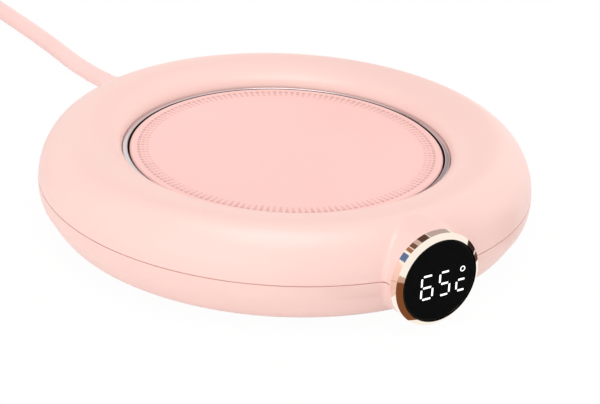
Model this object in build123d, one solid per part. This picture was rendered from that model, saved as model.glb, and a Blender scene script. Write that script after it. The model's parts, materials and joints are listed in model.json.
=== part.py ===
from build123d import *
import os
from math import cos, pi, radians, sin, tan

# Electric mug warmer: a low ring-shaped housing with a sprung heating plate in its
# well, a round display key at the front and a mains cord at the back.
# Millimetres. Z is up and z = 0 is the table. The display faces -Y, the cord leaves
# towards +Y. The origin is under the middle of the housing.

# ---- Housing ----
body_radius = 60.0        # widest line of the ring
foot_stand = 1.2          # the feet lift the underside this far off the table
waist_z = 12.0            # height of the widest line
crest_z = 24.0            # highest line of the ring
crest_inset = 9.8         # the crest lies this far inside the widest line
lip_z = 19.4              # the inner slope turns vertical here
wall = 2.2
seam_z = 12.6             # where the two shells meet
seam_gap = 0.24           # visible groove along the seam
seam_depth = 0.35
flat_inset = 9.5          # the flat underside ends this far inside the widest line
edge_inset, edge_rise, edge_lean = 4.6, 1.4, 57.0   # turn from underside to side
side_inset, side_rise, side_lean = 1.8, 5.1, 21.0   # leaning lower side
tongue_thickness = 1.0    # the lower shell's tongue keeps the shells in line
tongue_height = 1.5
tongue_clearance = 0.3
seam_stop = 0.6           # the groove ends this far short of the pod's front

# ---- Heating plate and its well ----
plate_radius = 38.05
plate_thickness = 1.0
plate_top_z = 19.5        # level with the trim ring, so the gap shows all round
plate_bevel = 0.3
plate_skirt = 3.3         # depth of the turned-down rim below the plate's top
plate_gap = 0.5           # dark gap between the plate and the trim ring
trim_width = 1.25
trim_fit = 0.15
trim_round_share = 0.42   # share of its width that rounds each of its top edges
trim_top_z = 19.5
press_travel = 1.2        # how far the plate sinks under a mug
stop_gap = 0.2            # what is left at the end of the travel
ledge_thickness = 1.8
ledge_width = 4.5

# ---- Heater under the plate ----
heater_clearance = 0.25   # between the heater's layers and the carrier's wall
heater_thickness = 0.5
pad_thickness = 2.0
carrier_floor = 1.8
carrier_wall = 1.6
carrier_clearance = 0.4
stud_radius = 2.6
stud_circle = 20.0
stud_count = 3
carrier_screw_radius = 0.98
carrier_screw_head = 2.0
carrier_screw_head_height = 1.2
hook_count = 4
hook_width = 7.0
hook_reach = 1.9
hook_thickness = 1.4
hook_inset = 0.4
sensor_radius = 2.4
sensor_clip_size = (16.0, 5.0, 0.5)
sensor_clip_corner = 1.5
fuse_radius = 1.6
fuse_length = 9.0
fuse_offset = 10.0
slot_clearance = 0.3

# ---- Guide posts and springs ----
post_count = 4
post_inset = 11.05        # of the posts' circle from the plate's rim
post_radius = 2.0
post_running_gap = 0.1
sleeve_wall = 1.1
sleeve_length = 3.2
spring_wire = 0.3         # radius of the wire
spring_radius = 2.75      # middle of the wire
spring_turns = 5.0
spring_seat_height = 0.6
end_gap = 0.06

# ---- Screws and feet ----
case_screw_inset = 12.5   # of the screws' circle from the widest line
case_screw_angles = (20.0, 160.0, 200.0, 340.0)
case_screw_radius = 1.45
case_screw_head = 2.7
case_screw_head_height = 1.8
case_screw_length = 11.0
case_boss_radius = 3.4
case_counterbore_depth = 4.8
screw_clearance = 0.25
screw_fit = 0.02
screw_slot = 0.6
slot_depth_share = 0.45   # share of a head's height that its slot takes
screw_tip_gap = 0.4
foot_inset = 15.0         # of the feet's circle from the widest line
foot_count = 4
foot_radius = 6.0
foot_recess = 0.8
foot_round = 0.5

# ---- Display ----
display_proud = 4.5       # the display's face stands this far out of the ring
pod_radius = 11.2
pod_proud = 1.35          # the pod itself stands out this far
pod_blend = 1.6
pod_reach_share = 0.25    # of the crest's inset, for how far the pod runs in past the crest
pod_collar_share = 0.29   # of the room inside the ring, taken by the pod's bore
bezel_radius = 11.35
bezel_bevel = (1.25, 1.0) # across the face, and back from it
lens_radius = 9.85
lens_thickness = 1.2
lens_recess = 0.2
lens_gap = 0.2
key_travel = 0.5
barrel_wall = 0.75
barrel_step = 0.25        # the barrel is this much wider than the bore for the lens
barrel_fit = 0.1
barrel_snap = 0.55
barrel_snap_length = 0.5
cup_wall = 0.9
cup_floor = 1.2
cup_clearance = 0.2
cup_flange = 0.7
catch_width = 6.0         # the barrel's snaps and the cup's lugs, on the two sides only
led_thickness = 5.0
board_thickness = 1.2
stem_radius = 1.6
stem_length = 1.4
tact_size = 6.0
tact_depth = 3.4
tact_plunger_radius = 1.5
tact_bore_depth = 1.9
tact_plunger_left = 0.6   # what stands out of the tact switch at the end of its travel
switch_board_size = (16.0, 13.6)
switch_board_corner = 0.8
slot_post = (2.6, 4.0)
slot_grip = 1.0

# ---- Digits on the display, measured from the middle of its face ----
stroke = 0.48             # width of a segment
stroke_corner = 0.15      # share of the width taken off each corner
stroke_gap = 0.34
digit_low, digit_high = -4.10, 2.10
six_left, six_right = -5.07, -1.53
five_left, five_right = -0.08, 3.14
letter_left, letter_right = 4.66, 7.05
letter_low, letter_high = -4.00, -0.82
degree_centre = (6.34, 1.57)
degree_outer = 0.70
degree_inner = 0.44

# ---- Main board ----
board_size = (44.0, 26.0)
board_corner = 1.5
board_stand = 1.6         # pillars under the board
pillar_radius = 2.2
pillar_inset = 3.0
board_screw_radius = 0.9
board_screw_head = 1.7
board_screw_head_height = 1.0
gravity_switch_place = (-13.0, -6.0)
gravity_switch_size = (6.4, 6.4, 4.2)
gravity_plunger_radius = 1.0
gravity_plunger_rise = 1.4
gravity_bore_depth = 2.9
finger_radius = 1.6
lead_radius = 0.7
lead_half_spacing = 2.2
lead_end_gap = 0.2
heater_lead_places = ((-7.2, 9.0), (7.2, 9.0))

# ---- Pieces on the main board: their places (x, y) and sizes ----
part_bevel = 0.4
leg_root = 0.1            # how far a leg runs into its body
film_capacitor_place = (11.5, 2.5)
film_capacitor_size = (13.0, 6.0, 5.2)
can_place = (-10.0, 3.0)
can_radius = 2.6
can_length = 10.0
rectifier_place = (13.0, -6.5)
rectifier_size = (6.5, 6.0, 2.4)
rectifier_leg = (0.6, 1.0, 1.0)
rectifier_leg_pitch = 2.0
control_chip_place = (-1.0, -1.5)
control_chip_size = (8.6, 3.9, 1.4)
control_chip_lift = 0.15
control_chip_leg = (0.42, 6.0, 0.5)
control_chip_pitch = 1.27
triac_place = (4.6, -7.3)
triac_size = (9.0, 5.2, 3.4)
triac_leg = (0.8, 1.4, 0.6)
triac_leg_pitch = 2.5
terminal_place = (0.0, 9.0)
terminal_size = (10.0, 6.4, 4.8)
terminal_hole_radius = 1.4
terminal_hole_depth = 1.4
terminal_bore_depth = 3.0
terminal_lead_height = 1.6
board_fuse_place = (-12.6, 9.0)
board_fuse_radius = 1.7
board_fuse_length = 7.0
ribbon_width = 5.0
ribbon_thickness = 0.7
ribbon_height = 0.8       # of its underside above the board
ribbon_end = 12.0
socket_size = (8.0, 1.2, 2.4)

# ---- Cord ----
cord_radius = 2.3
cord_floor_gap = 0.05
collar_radius = 4.9
collar_proud = 5.0        # the collar's face stands this far out of the ring
collar_bore = 3.1
collar_depth = 13.0
exit_z = 7.4
relief_neck_clearance = 0.05
relief_tilt = 8.0
relief_length = 19.5
relief_base_radius = 3.9
relief_tip_radius = 2.75
relief_shoulder = (4.2, 1.0)
relief_inner_flange = 3.6
relief_rib_count = 5
relief_rib_depth = 0.45
relief_groove_share = 0.42
relief_first_groove = 1.5 # in pitches from the housing
clamp_size = (18.0, 4.4, 3.2)
clamp_setback = 1.14      # of the clamp from the strain relief's inner end
jacket_tail = 1.9         # the cord's jacket runs on past the clamp by this much
clamp_screw_offset = 6.6
clamp_screw_radius = 0.95
clamp_pillar_radius = 2.3
clamp_round = 1.2
core_offset = 1.1         # the cord's two cores leave the jacket this far off its middle
core_straight = 6.0
core_drop = 12.0
core_bend = 6.0
bend_share = 0.45         # share of a straight run that a corner's arc may use

# ---- Coil of the stored length, its tie and the plug ----
coil_centre = (-32.0, 190.0)
coil_middle_radius = 25.3
coil_turns_across = 3
coil_layers = 2
coil_round = 2.0
tie_width = 8.0
tie_thickness = 0.8
tie_angle = 80.0
plug_rear = (-75.4, 127.0, 6.5)
plug_size = (23.0, 26.0, 13.0)
plug_round = 2.4
plug_rear_round = 1.9
plug_lift = 12.5          # the cord runs on in line with the plug's neck for this far
plug_neck_length = 9.0
plug_neck_tilt = 8.0
plug_neck_radius = 4.2
plug_tip_radius = 2.9
blade_size = (1.5, 17.5, 6.35)
blade_spacing = 12.7
blade_root = 3.0

# ---- For cutting and for picking edges ----
over = 1.0                # a cutter runs past what it cuts by this much
beyond = 400.0            # outside every piece
same_place = 0.01         # two edges closer than this are at the same height

# ---- Worked out from the sizes above ----
crest_radius = body_radius - crest_inset
case_screw_circle = body_radius - case_screw_inset
foot_circle = body_radius - foot_inset
post_circle = plate_radius - post_inset
well_radius = plate_radius + plate_gap + trim_width + trim_fit
base_inside_z = foot_stand + wall
skirt_low_z = plate_top_z - plate_skirt
ledge_top_z = skirt_low_z - press_travel - stop_gap
ledge_low_z = ledge_top_z - ledge_thickness
ledge_radius = well_radius - ledge_width
plate_low_z = plate_top_z - plate_thickness
heater_low_z = plate_low_z - heater_thickness
pad_low_z = heater_low_z - pad_thickness
carrier_low_z = pad_low_z - carrier_floor
carrier_radius = ledge_radius - carrier_clearance
heater_radius = carrier_radius - carrier_wall - heater_clearance
post_top_z = carrier_low_z - press_travel - stop_gap
sleeve_low_z = carrier_low_z - sleeve_length
sleeve_radius = post_radius + post_running_gap + sleeve_wall
spring_low_z = base_inside_z + spring_seat_height + end_gap
board_low_z = base_inside_z + board_stand
board_top_z = board_low_z + board_thickness
display_z = seam_z
display_front = body_radius + display_proud
ring_room = body_radius - well_radius - wall
pod_front = body_radius + pod_proud
collar_front = body_radius + collar_proud
pod_bore = lens_radius + lens_gap + barrel_step + barrel_fit
barrel_outer = pod_bore - barrel_fit
barrel_inner = barrel_outer - barrel_wall
collar_back = pod_front - ring_room * pod_collar_share
barrel_end = collar_back - barrel_snap_length - end_gap
lens_front = display_front - lens_recess
lens_back = lens_front - lens_thickness
cup_radius = barrel_inner - cup_clearance
cup_back = barrel_end - cup_flange - end_gap * 3
cup_inside = cup_back + cup_floor
led_front = lens_back - cup_clearance
led_back = led_front - led_thickness
display_board_back = led_back - board_thickness
stem_end = cup_back - stem_length
tact_front = stem_end - key_travel - tact_plunger_left
tact_back = tact_front - tact_depth
switch_board_back = tact_back - board_thickness
relief_inner_end = collar_front - collar_depth - relief_shoulder[1] - end_gap
clamp_place = relief_inner_end - clamp_setback - clamp_size[1] / 2
cord_inner_end = clamp_place - clamp_size[1] / 2 - jacket_tail
terminal_face_y = terminal_place[1] + terminal_size[1] / 2
terminal_bore_end = terminal_face_y - terminal_bore_depth
terminal_lead_z = board_top_z + terminal_lead_height
cord_floor_z = cord_radius + cord_floor_gap
coil_pitch = 2 * cord_radius
coil_outer = coil_middle_radius + coil_pitch * coil_turns_across / 2 + cord_radius
coil_inner = coil_middle_radius - coil_pitch * coil_turns_across / 2 - cord_radius
coil_top_z = cord_floor_gap + coil_pitch * coil_layers
relief_tip_y = collar_front + relief_length * cos(radians(relief_tilt))
relief_tip_z = exit_z - relief_length * sin(radians(relief_tilt))
lead_lands_y = relief_tip_y + (relief_tip_z - cord_floor_z) / tan(radians(relief_tilt))
plug_tip_y = plug_rear[1] + plug_neck_length * cos(radians(plug_neck_tilt))
plug_tip_z = plug_rear[2] - plug_neck_length * sin(radians(plug_neck_tilt))

# The cord's route where it isn't coiled, from the strain relief's tip to the coil
# and from the coil to the plug.
lead_route = [
    (0.0, relief_tip_y, relief_tip_z),
    (0.0, lead_lands_y, cord_floor_z),
    (1.3, 129.0, cord_floor_z),
    (0.6, 158.0, cord_floor_z),
    (0.1, 186.0, cord_floor_z),
]
tail_route = [
    (-54.8, 212.8, 6.95),
    (-65.2, 202.4, 6.2),
    (-72.9, 190.2, 3.6),
    (-76.9, 176.4, cord_floor_z),
    (-77.0, 162.2, cord_floor_z + 0.1),
    (plug_rear[0], plug_tip_y + plug_lift * cos(radians(plug_neck_tilt)),
     plug_tip_z - plug_lift * sin(radians(plug_neck_tilt))),
    (plug_rear[0], plug_tip_y, plug_tip_z),
]


# ---- Shapes used by several pieces ----
def disc(radius, low, high, x=0.0, y=0.0):
    """Upright cylinder between two heights."""
    return Pos(x, y, (low + high) / 2) * Cylinder(radius, high - low)


def ring(inner, outer, low, high, x=0.0, y=0.0):
    """Flat ring between two heights."""
    return disc(outer, low, high, x, y) - disc(inner, low - over, high + over, x, y)


def block(x, y, z):
    """Box between two values on each axis."""
    size = [span[1] - span[0] for span in (x, y, z)]
    middle = [(span[1] + span[0]) / 2 for span in (x, y, z)]
    return Pos(*middle) * Box(*size)


def lying(radius, start_y, end_y, x=0.0, z=0.0):
    """Cylinder along Y between two places."""
    return Pos(x, (start_y + end_y) / 2, z) * Rot(90, 0, 0) * Cylinder(radius, abs(end_y - start_y))


def facing(radius, near, far):
    """Cylinder on the display's axis, between two distances from the middle."""
    return lying(radius, -far, -near, 0.0, display_z)


def around(count, radius, first=0.0):
    """Places on a circle."""
    angles = [radians(first + 360.0 * i / count) for i in range(count)]
    return [(radius * cos(a), radius * sin(a)) for a in angles]


def at_angles(angles, radius):
    return [(radius * cos(radians(a)), radius * sin(radians(a))) for a in angles]


def group(solids):
    """Separate solids kept in one node."""
    return Compound(children=[s for shape in solids for s in shape.solids()])


def raised_screw(shank, head, head_height, seat, tip, x, y):
    """Screw driven upwards: its head hangs under the seat, its shank ends at the tip."""
    low = seat - head_height
    body = disc(head, low, seat, x, y) + disc(shank, seat, tip, x, y)
    return body - screw_slot_cut(head, low - over, low + head_height * slot_depth_share, x, y)


def lowered_screw(shank, head, head_height, seat, tip, x, y):
    """Screw driven downwards: its head stands on the seat, its shank ends at the tip."""
    top = seat + head_height
    body = disc(head, seat, top, x, y) + disc(shank, tip, seat, x, y)
    return body - screw_slot_cut(head, top - head_height * slot_depth_share, top + over, x, y)


def screw_slot_cut(head, low, high, x, y):
    half = screw_slot / 2
    return block((x - head, x + head), (y - half, y + half), (low, high))


# ---- Housing ----
def ring_form(inset, well_floor_z):
    """The housing's outer form, or the same form moved inwards by inset."""
    def leaning(side, rise, lean):
        turn = radians(lean)
        return (body_radius - side - inset * cos(turn), foot_stand + rise + inset * sin(turn))

    flat_end = (body_radius - flat_inset, foot_stand + inset)
    edge = leaning(edge_inset, edge_rise, edge_lean)
    side = leaning(side_inset, side_rise, side_lean)
    waist = (body_radius - inset, waist_z)
    lower = Spline(flat_end, edge, side, waist, tangents=[(1, 0), (0, 1)])
    outer = EllipticalCenterArc((crest_radius, waist_z), crest_inset - inset,
                                crest_z - waist_z - inset, 0, arc_size=90)
    inner = EllipticalCenterArc((crest_radius, lip_z), crest_radius - well_radius - inset,
                                crest_z - lip_z - inset, 90, arc_size=90)
    well = Polyline((well_radius + inset, lip_z), (well_radius + inset, well_floor_z),
                    (0, well_floor_z), (0, foot_stand + inset), flat_end)
    return revolve(make_face(Plane.XZ * Curve([lower, outer, inner, well])), Axis.Z)


def pod_edges(form):
    """The edges where the pod grows out of the ring."""
    found = []
    for edge in form.edges():
        box = edge.bounding_box()
        between = -pod_front + same_place < box.min.Y and box.max.Y < -crest_radius
        wide = box.size.X > pod_radius
        if between and wide:
            found.append(edge)
    return found


def housing_form():
    pod_back = crest_radius - crest_inset * pod_reach_share
    form = ring_form(0.0, ledge_top_z) + facing(pod_radius, pod_back, pod_front)
    form = fillet(pod_edges(form), pod_blend)
    return form + lying(collar_radius, collar_front - collar_depth, collar_front, 0.0, exit_z)


def seam_groove(form):
    """Thin groove that runs along the seam round the ring and the pod."""
    slab = block((-beyond, beyond), (seam_stop - pod_front, beyond),
                 (seam_z - seam_gap / 2, seam_z + seam_gap / 2))
    kept = ring_form(seam_depth, ledge_top_z)
    kept += facing(pod_radius - seam_depth, collar_back, pod_front + over)
    return (slab & form) - kept


def housing_shell():
    form = housing_form()
    cavity = ring_form(wall, ledge_low_z)
    cavity -= facing(pod_radius, collar_back, pod_front)
    cavity -= lying(collar_radius, collar_front - collar_depth, collar_front, 0.0, exit_z)
    shell = form - cavity - seam_groove(form)
    shell -= display_bore()
    shell -= collar_hole()
    return shell - disc(ledge_radius, ledge_low_z - over, ledge_top_z + over)


def collar_hole():
    """Hole through the rear collar for the strain relief's neck."""
    return lying(collar_bore, collar_front - collar_depth - over, collar_front + over, 0.0, exit_z)


def display_bore():
    """Bore for the bezel's barrel, and behind it the room for its catches and the moving cup."""
    room_back = cup_back - key_travel - cup_clearance
    bore = facing(pod_bore, barrel_end - cup_clearance, pod_front + over)
    bore += facing(barrel_outer + barrel_snap + tongue_clearance, room_back, collar_back)
    return bore + facing(cup_radius + tongue_clearance, room_back, pod_front)


def side_band():
    """Slab across the display at its middle height, as wide as the catches."""
    half = catch_width / 2
    return block((-beyond, beyond), (-beyond, 0), (display_z - half, display_z + half))


def top_shell(shell):
    half = shell & block((-beyond, beyond), (-beyond, beyond), (seam_z, beyond))
    limit = ring_form(wall / 2, ledge_low_z)
    low = seam_z + end_gap
    for x, y in at_angles(case_screw_angles, case_screw_circle):
        half += disc(case_boss_radius, low, crest_z, x, y) & limit
        half -= disc(case_screw_radius + screw_fit, low - over, case_screw_top(), x, y)
    return half


def case_screw_seat():
    return foot_stand + case_counterbore_depth


def case_screw_top():
    return case_screw_seat() + case_screw_length


def tongue():
    """Upstanding lip inside the seam, cut away at the display and the cord."""
    outer = body_radius - wall - tongue_clearance
    inner = outer - tongue_thickness
    lip = ring(inner, outer, seam_z - tongue_height, seam_z + tongue_height)
    root = ring(inner, body_radius - wall / 2, seam_z - 2 * tongue_height, seam_z - seam_gap)
    window = pod_radius + tongue_clearance
    gap = block((-window, window), (-body_radius, 0), (seam_z, seam_z + 2 * tongue_height))
    return (lip + root) - gap


def bottom_shell(shell):
    half = shell & block((-beyond, beyond), (-beyond, beyond), (-over, seam_z))
    half += tongue() - collar_hole()
    half -= display_bore()
    for x, y in at_angles(case_screw_angles, case_screw_circle):
        half += disc(case_boss_radius, foot_stand + wall / 2, seam_z, x, y)
        half -= disc(case_screw_radius + screw_clearance, -over, seam_z + over, x, y)
        half -= disc(case_screw_head + screw_clearance, -over, case_screw_seat(), x, y)
    for x, y in around(foot_count, foot_circle, 45.0):
        half -= disc(foot_radius, -over, foot_stand + foot_recess, x, y)
    half += base_furniture()
    return half


def base_furniture():
    """Posts, pillars and ribs that stand on the inside of the bottom shell."""
    root_z = foot_stand + wall / 2
    pieces = []
    for x, y in around(post_count, post_circle, 45.0):
        pieces.append(disc(post_radius, root_z, post_top_z, x, y))
        pieces.append(disc(sleeve_radius, root_z, base_inside_z + spring_seat_height, x, y))
    for x, y in board_pillar_places():
        pillar = disc(pillar_radius, root_z, board_low_z, x, y)
        hole = disc(board_screw_radius + screw_fit, base_inside_z, board_low_z + over, x, y)
        pieces.append(pillar - hole)
    for side in (-1, 1):
        x = side * clamp_screw_offset
        pillar = disc(clamp_pillar_radius, root_z, exit_z, x, clamp_place)
        hole = disc(clamp_screw_radius + screw_fit, base_inside_z, exit_z + over, x, clamp_place)
        pieces.append(pillar - hole)
        pieces.append(slot_rib(side))
    cradle = block((-cord_radius, cord_radius), clamp_span(), (root_z, exit_z - cord_radius / 2))
    pieces.append(cradle - lying(cord_radius, 0, body_radius, 0.0, exit_z))
    return sum_of(pieces)


def sum_of(pieces):
    total = pieces[0]
    for piece in pieces[1:]:
        total += piece
    return total


def slot_rib(side):
    """Slotted post that holds one edge of the display's switch board."""
    half_board = switch_board_size[0] / 2
    inner = half_board - slot_grip
    outer = inner + slot_post[0]
    middle = -(switch_board_back + board_thickness / 2)
    y = (middle - slot_post[1] / 2, middle + slot_post[1] / 2)
    x = sorted((side * inner, side * outer))
    post = block(x, y, (foot_stand + wall / 2, seam_z - end_gap))
    fit = board_thickness / 2 + screw_fit
    slot_x = sorted((side * (inner - over), side * (half_board + screw_fit)))
    return post - block(slot_x, (middle - fit, middle + fit), (switch_board_low(), seam_z))


def switch_board_low():
    return seam_z - switch_board_size[1] / 2


def trim_ring():
    outer = plate_radius + plate_gap + trim_width
    inner = plate_radius + plate_gap
    band = ring(inner, outer, ledge_top_z, trim_top_z)
    return fillet(top_edges(band, trim_top_z), trim_width * trim_round_share)


def top_edges(shape, z):
    """The edges that lie at one height."""
    return [e for e in shape.edges() if abs(e.bounding_box().min.Z - z) < same_place
            and abs(e.bounding_box().max.Z - z) < same_place]


def rubber_feet():
    top = foot_stand + foot_recess
    feet = []
    for x, y in around(foot_count, foot_circle, 45.0):
        foot = disc(foot_radius - screw_fit, 0.0, top, x, y)
        feet.append(fillet(top_edges(foot, 0.0), foot_round))
    return group(feet)


def case_screws():
    tip = case_screw_top() - screw_clearance
    return group([raised_screw(case_screw_radius, case_screw_head, case_screw_head_height,
                               case_screw_seat(), tip, x, y)
                  for x, y in at_angles(case_screw_angles, case_screw_circle)])


# ---- Heating plate and what it carries ----
def heating_plate():
    plate = disc(plate_radius, skirt_low_z, plate_top_z)
    plate = chamfer(top_edges(plate, plate_top_z), plate_bevel)
    plate -= disc(plate_radius - plate_thickness, skirt_low_z - over, plate_low_z)
    for x, y in around(stud_count, stud_circle, 90.0):
        plate += disc(stud_radius, pad_low_z, plate_low_z, x, y)
        plate -= disc(carrier_screw_radius + screw_fit, pad_low_z - over, heater_low_z, x, y)
    return plate


def heater_cutouts(low, high):
    """Holes that let the studs and the sensor through the heater's layers."""
    holes = [disc(stud_radius + slot_clearance, low, high, x, y)
             for x, y in around(stud_count, stud_circle, 90.0)]
    holes.append(disc(sensor_radius + slot_clearance, low, high))
    return sum_of(holes)


def heater_film():
    sheet = disc(heater_radius, heater_low_z, plate_low_z)
    return sheet - heater_cutouts(heater_low_z - over, plate_low_z + over)


def fuse_slot(low, high):
    half_x = fuse_length / 2 + slot_clearance
    half_y = fuse_radius + slot_clearance
    return block((-half_x, half_x), (-fuse_offset - half_y, -fuse_offset + half_y), (low, high))


def fuse_middle_z():
    return heater_low_z - fuse_radius - end_gap


def lead_holes(low, high):
    return sum_of([disc(lead_radius + slot_clearance, low, high, x, y) for x, y in heater_lead_places])


def insulation_pad():
    pad = disc(heater_radius, pad_low_z, heater_low_z)
    pad -= heater_cutouts(pad_low_z - over, heater_low_z + over)
    pad -= fuse_slot(pad_low_z - over, heater_low_z + over)
    return pad - lead_holes(pad_low_z - over, heater_low_z + over)


def plate_carrier():
    carrier = disc(carrier_radius, carrier_low_z, plate_low_z)
    carrier -= disc(carrier_radius - carrier_wall, pad_low_z, plate_low_z + over)
    for x, y in around(stud_count, stud_circle, 90.0):
        hole = carrier_screw_radius + screw_clearance
        carrier -= disc(hole, carrier_low_z - over, pad_low_z + over, x, y)
    carrier -= disc(sensor_radius + slot_clearance, carrier_low_z - over, pad_low_z + over)
    carrier -= fuse_slot(fuse_middle_z() - fuse_radius - end_gap, pad_low_z + over)
    carrier -= lead_holes(carrier_low_z - over, pad_low_z + over)
    for x, y in around(post_count, post_circle, 45.0):
        carrier += disc(sleeve_radius, sleeve_low_z, carrier_low_z + carrier_floor / 2, x, y)
        carrier -= disc(post_radius + post_running_gap, sleeve_low_z - over, carrier_low_z, x, y)
    for i in range(hook_count):
        carrier += Rot(0, 0, 360 * i / hook_count) * carrier_hook()
    x, y = gravity_switch_place
    return carrier + disc(finger_radius, finger_low_z(), carrier_low_z + carrier_floor / 2, x, y)


def carrier_hook():
    """Hook that catches under the ledge and stops the plate from lifting out."""
    top = ledge_low_z - stop_gap
    low = top - hook_thickness
    half = hook_width / 2
    outer = carrier_radius - hook_inset
    inner = outer - carrier_wall
    leg = block((inner, outer), (-half, half), (low, carrier_low_z + carrier_floor / 2))
    toe = block((inner, carrier_radius + hook_reach), (-half, half), (low, top))
    return leg + toe


def carrier_screws():
    tip = heater_low_z - screw_clearance
    return group([raised_screw(carrier_screw_radius, carrier_screw_head, carrier_screw_head_height,
                               carrier_low_z, tip, x, y)
                  for x, y in around(stud_count, stud_circle, 90.0)])


def temperature_sensor():
    return disc(sensor_radius, carrier_low_z, plate_low_z)


def sensor_clip():
    length, width, thickness = sensor_clip_size
    strip = block((-length / 2, length / 2), (-width / 2, width / 2),
                  (carrier_low_z - thickness, carrier_low_z))
    return fillet(strip.edges().filter_by(Axis.Z), sensor_clip_corner)


def thermal_fuse():
    place = Pos(0, -fuse_offset, fuse_middle_z())
    body = place * Rot(0, 90, 0) * Cylinder(fuse_radius, fuse_length)
    return chamfer(body.edges(), part_bevel)


def plate_spring(x, y):
    """Open-coiled spring round one guide post, between its seat and the sleeve."""
    low = spring_low_z + spring_wire
    height = sleeve_low_z - end_gap - spring_wire - low
    path = Pos(x, y, low) * Helix(height / spring_turns, height, spring_radius)
    start = Plane(origin=path @ 0, z_dir=path % 0)
    return sweep(start * Circle(spring_wire), path=path, is_frenet=True)


def finger_low_z():
    return board_top_z + gravity_switch_size[2] + gravity_plunger_rise + end_gap


def gravity_switch():
    x, y = gravity_switch_place
    length, width, height = gravity_switch_size
    top = board_top_z + height
    body = chamfer(on_board((x, y), (length, width, height)).edges().filter_by(Axis.Z), part_bevel)
    bore = gravity_plunger_radius + post_running_gap
    return body - disc(bore, top - gravity_bore_depth, top + over, x, y)


def gravity_switch_plunger():
    x, y = gravity_switch_place
    top = board_top_z + gravity_switch_size[2]
    low = top - gravity_bore_depth + press_travel + stop_gap
    return disc(gravity_plunger_radius, low, top + gravity_plunger_rise, x, y)


# ---- Electronics on the main board ----
def board_pillar_places():
    x = board_size[0] / 2 - pillar_inset
    y = board_size[1] / 2 - pillar_inset
    return [(sx * x, sy * y) for sx in (-1, 1) for sy in (-1, 1)]


def main_board():
    half_x, half_y = board_size[0] / 2, board_size[1] / 2
    board = block((-half_x, half_x), (-half_y, half_y), (board_low_z, board_top_z))
    board = fillet(board.edges().filter_by(Axis.Z), board_corner)
    hole = board_screw_radius + screw_clearance
    for x, y in board_pillar_places():
        board -= disc(hole, board_low_z - over, board_top_z + over, x, y)
    return board


def board_screws():
    tip = base_inside_z + screw_tip_gap
    return group([lowered_screw(board_screw_radius, board_screw_head, board_screw_head_height,
                                board_top_z, tip, x, y)
                  for x, y in board_pillar_places()])


def on_board(place, size, lift=0.0):
    """Box that stands on the board, centred on its place."""
    x, y = place
    length, width, height = size
    low = board_top_z + lift
    return block((x - length / 2, x + length / 2), (y - width / 2, y + width / 2), (low, low + height))


def leg_row(count, pitch, place, leg):
    """Row of legs along X, centred on a place."""
    x, y = place
    first = x - pitch * (count - 1) / 2
    return sum_of([on_board((first + i * pitch, y), leg) for i in range(count)])


def upper_edges(shape):
    return shape.edges().group_by(Axis.Z)[-1]


def tube_on_board(place, radius, length):
    """Cylinder lying along X on the board."""
    x, y = place
    tube = Pos(x, y, board_top_z + radius) * Rot(0, 90, 0) * Cylinder(radius, length)
    return chamfer(tube.edges(), part_bevel)


def film_capacitor():
    body = on_board(film_capacitor_place, film_capacitor_size)
    return fillet(body.edges(), part_bevel)


def smoothing_capacitor():
    return tube_on_board(can_place, can_radius, can_length)


def board_fuse():
    return tube_on_board(board_fuse_place, board_fuse_radius, board_fuse_length)


def rectifier():
    """Flat bridge rectifier with three legs on each side."""
    x, y = rectifier_place
    body = on_board(rectifier_place, rectifier_size)
    body = chamfer(upper_edges(body), part_bevel)
    for side in (-1, 1):
        row_y = y + side * ((rectifier_size[1] + rectifier_leg[1]) / 2 - leg_root)
        body += leg_row(3, rectifier_leg_pitch, (x, row_y), rectifier_leg)
    return body


def control_chip():
    """Chip with seven legs on each side, each pair of legs one strip under the body."""
    body = on_board(control_chip_place, control_chip_size, control_chip_lift)
    return body + leg_row(7, control_chip_pitch, control_chip_place, control_chip_leg)


def triac():
    """Flat power switch with three legs."""
    x, y = triac_place
    body = chamfer(upper_edges(on_board(triac_place, triac_size)), part_bevel)
    row_y = y - (triac_size[1] + triac_leg[1]) / 2 + leg_root
    return body + leg_row(3, triac_leg_pitch, (x, row_y), triac_leg)


def terminal_block():
    body = on_board(terminal_place, terminal_size)
    top = board_top_z + terminal_size[2]
    for side in (-1, 1):
        x = side * lead_half_spacing
        body -= disc(terminal_hole_radius, top - terminal_hole_depth, top + over, x, terminal_place[1])
        body -= lying(lead_radius + screw_fit, terminal_bore_end, terminal_face_y + over,
                      x, terminal_lead_z)
    return body


def heater_leads():
    """The heater's two leads, from the board up to the film."""
    return group([disc(lead_radius, board_top_z, heater_low_z, x, y) for x, y in heater_lead_places])


def mains_leads():
    """The cord's two cores, from its jacket down to the terminal block."""
    straight_end = cord_inner_end - core_straight
    leads = []
    for side in (-1, 1):
        core_x = side * core_offset
        lead_x = side * lead_half_spacing
        points = [(core_x, cord_inner_end, exit_z), (core_x, straight_end, exit_z),
                  (lead_x, straight_end - core_drop, terminal_lead_z),
                  (lead_x, terminal_bore_end + lead_end_gap, terminal_lead_z)]
        path = FilletPolyline(*points, radius=[core_bend, core_bend])
        start = Plane(origin=path @ 0, z_dir=path % 0)
        leads.append(sweep(start * Circle(lead_radius), path=path))
    return group(leads)


def ribbon_cable():
    """Flat cable from the display's switch board to its socket on the main board."""
    low = board_top_z + ribbon_height
    half = ribbon_width / 2
    cable = block((-half, half), (-switch_board_back, -ribbon_end), (low, low + ribbon_thickness))
    return cable + on_board((0, -ribbon_end), socket_size)


# ---- Display key ----
def turned(points):
    """Solid turned about the display's axis, from points of (radius, distance)."""
    outline = Polyline(*[(r, -far) for r, far in points], close=True)
    plane = Plane(origin=(0, 0, display_z), x_dir=(1, 0, 0), z_dir=(0, 0, 1))
    axis = Axis((0, 0, display_z), (0, 1, 0))
    return revolve(plane * make_face(outline), axis)


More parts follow.
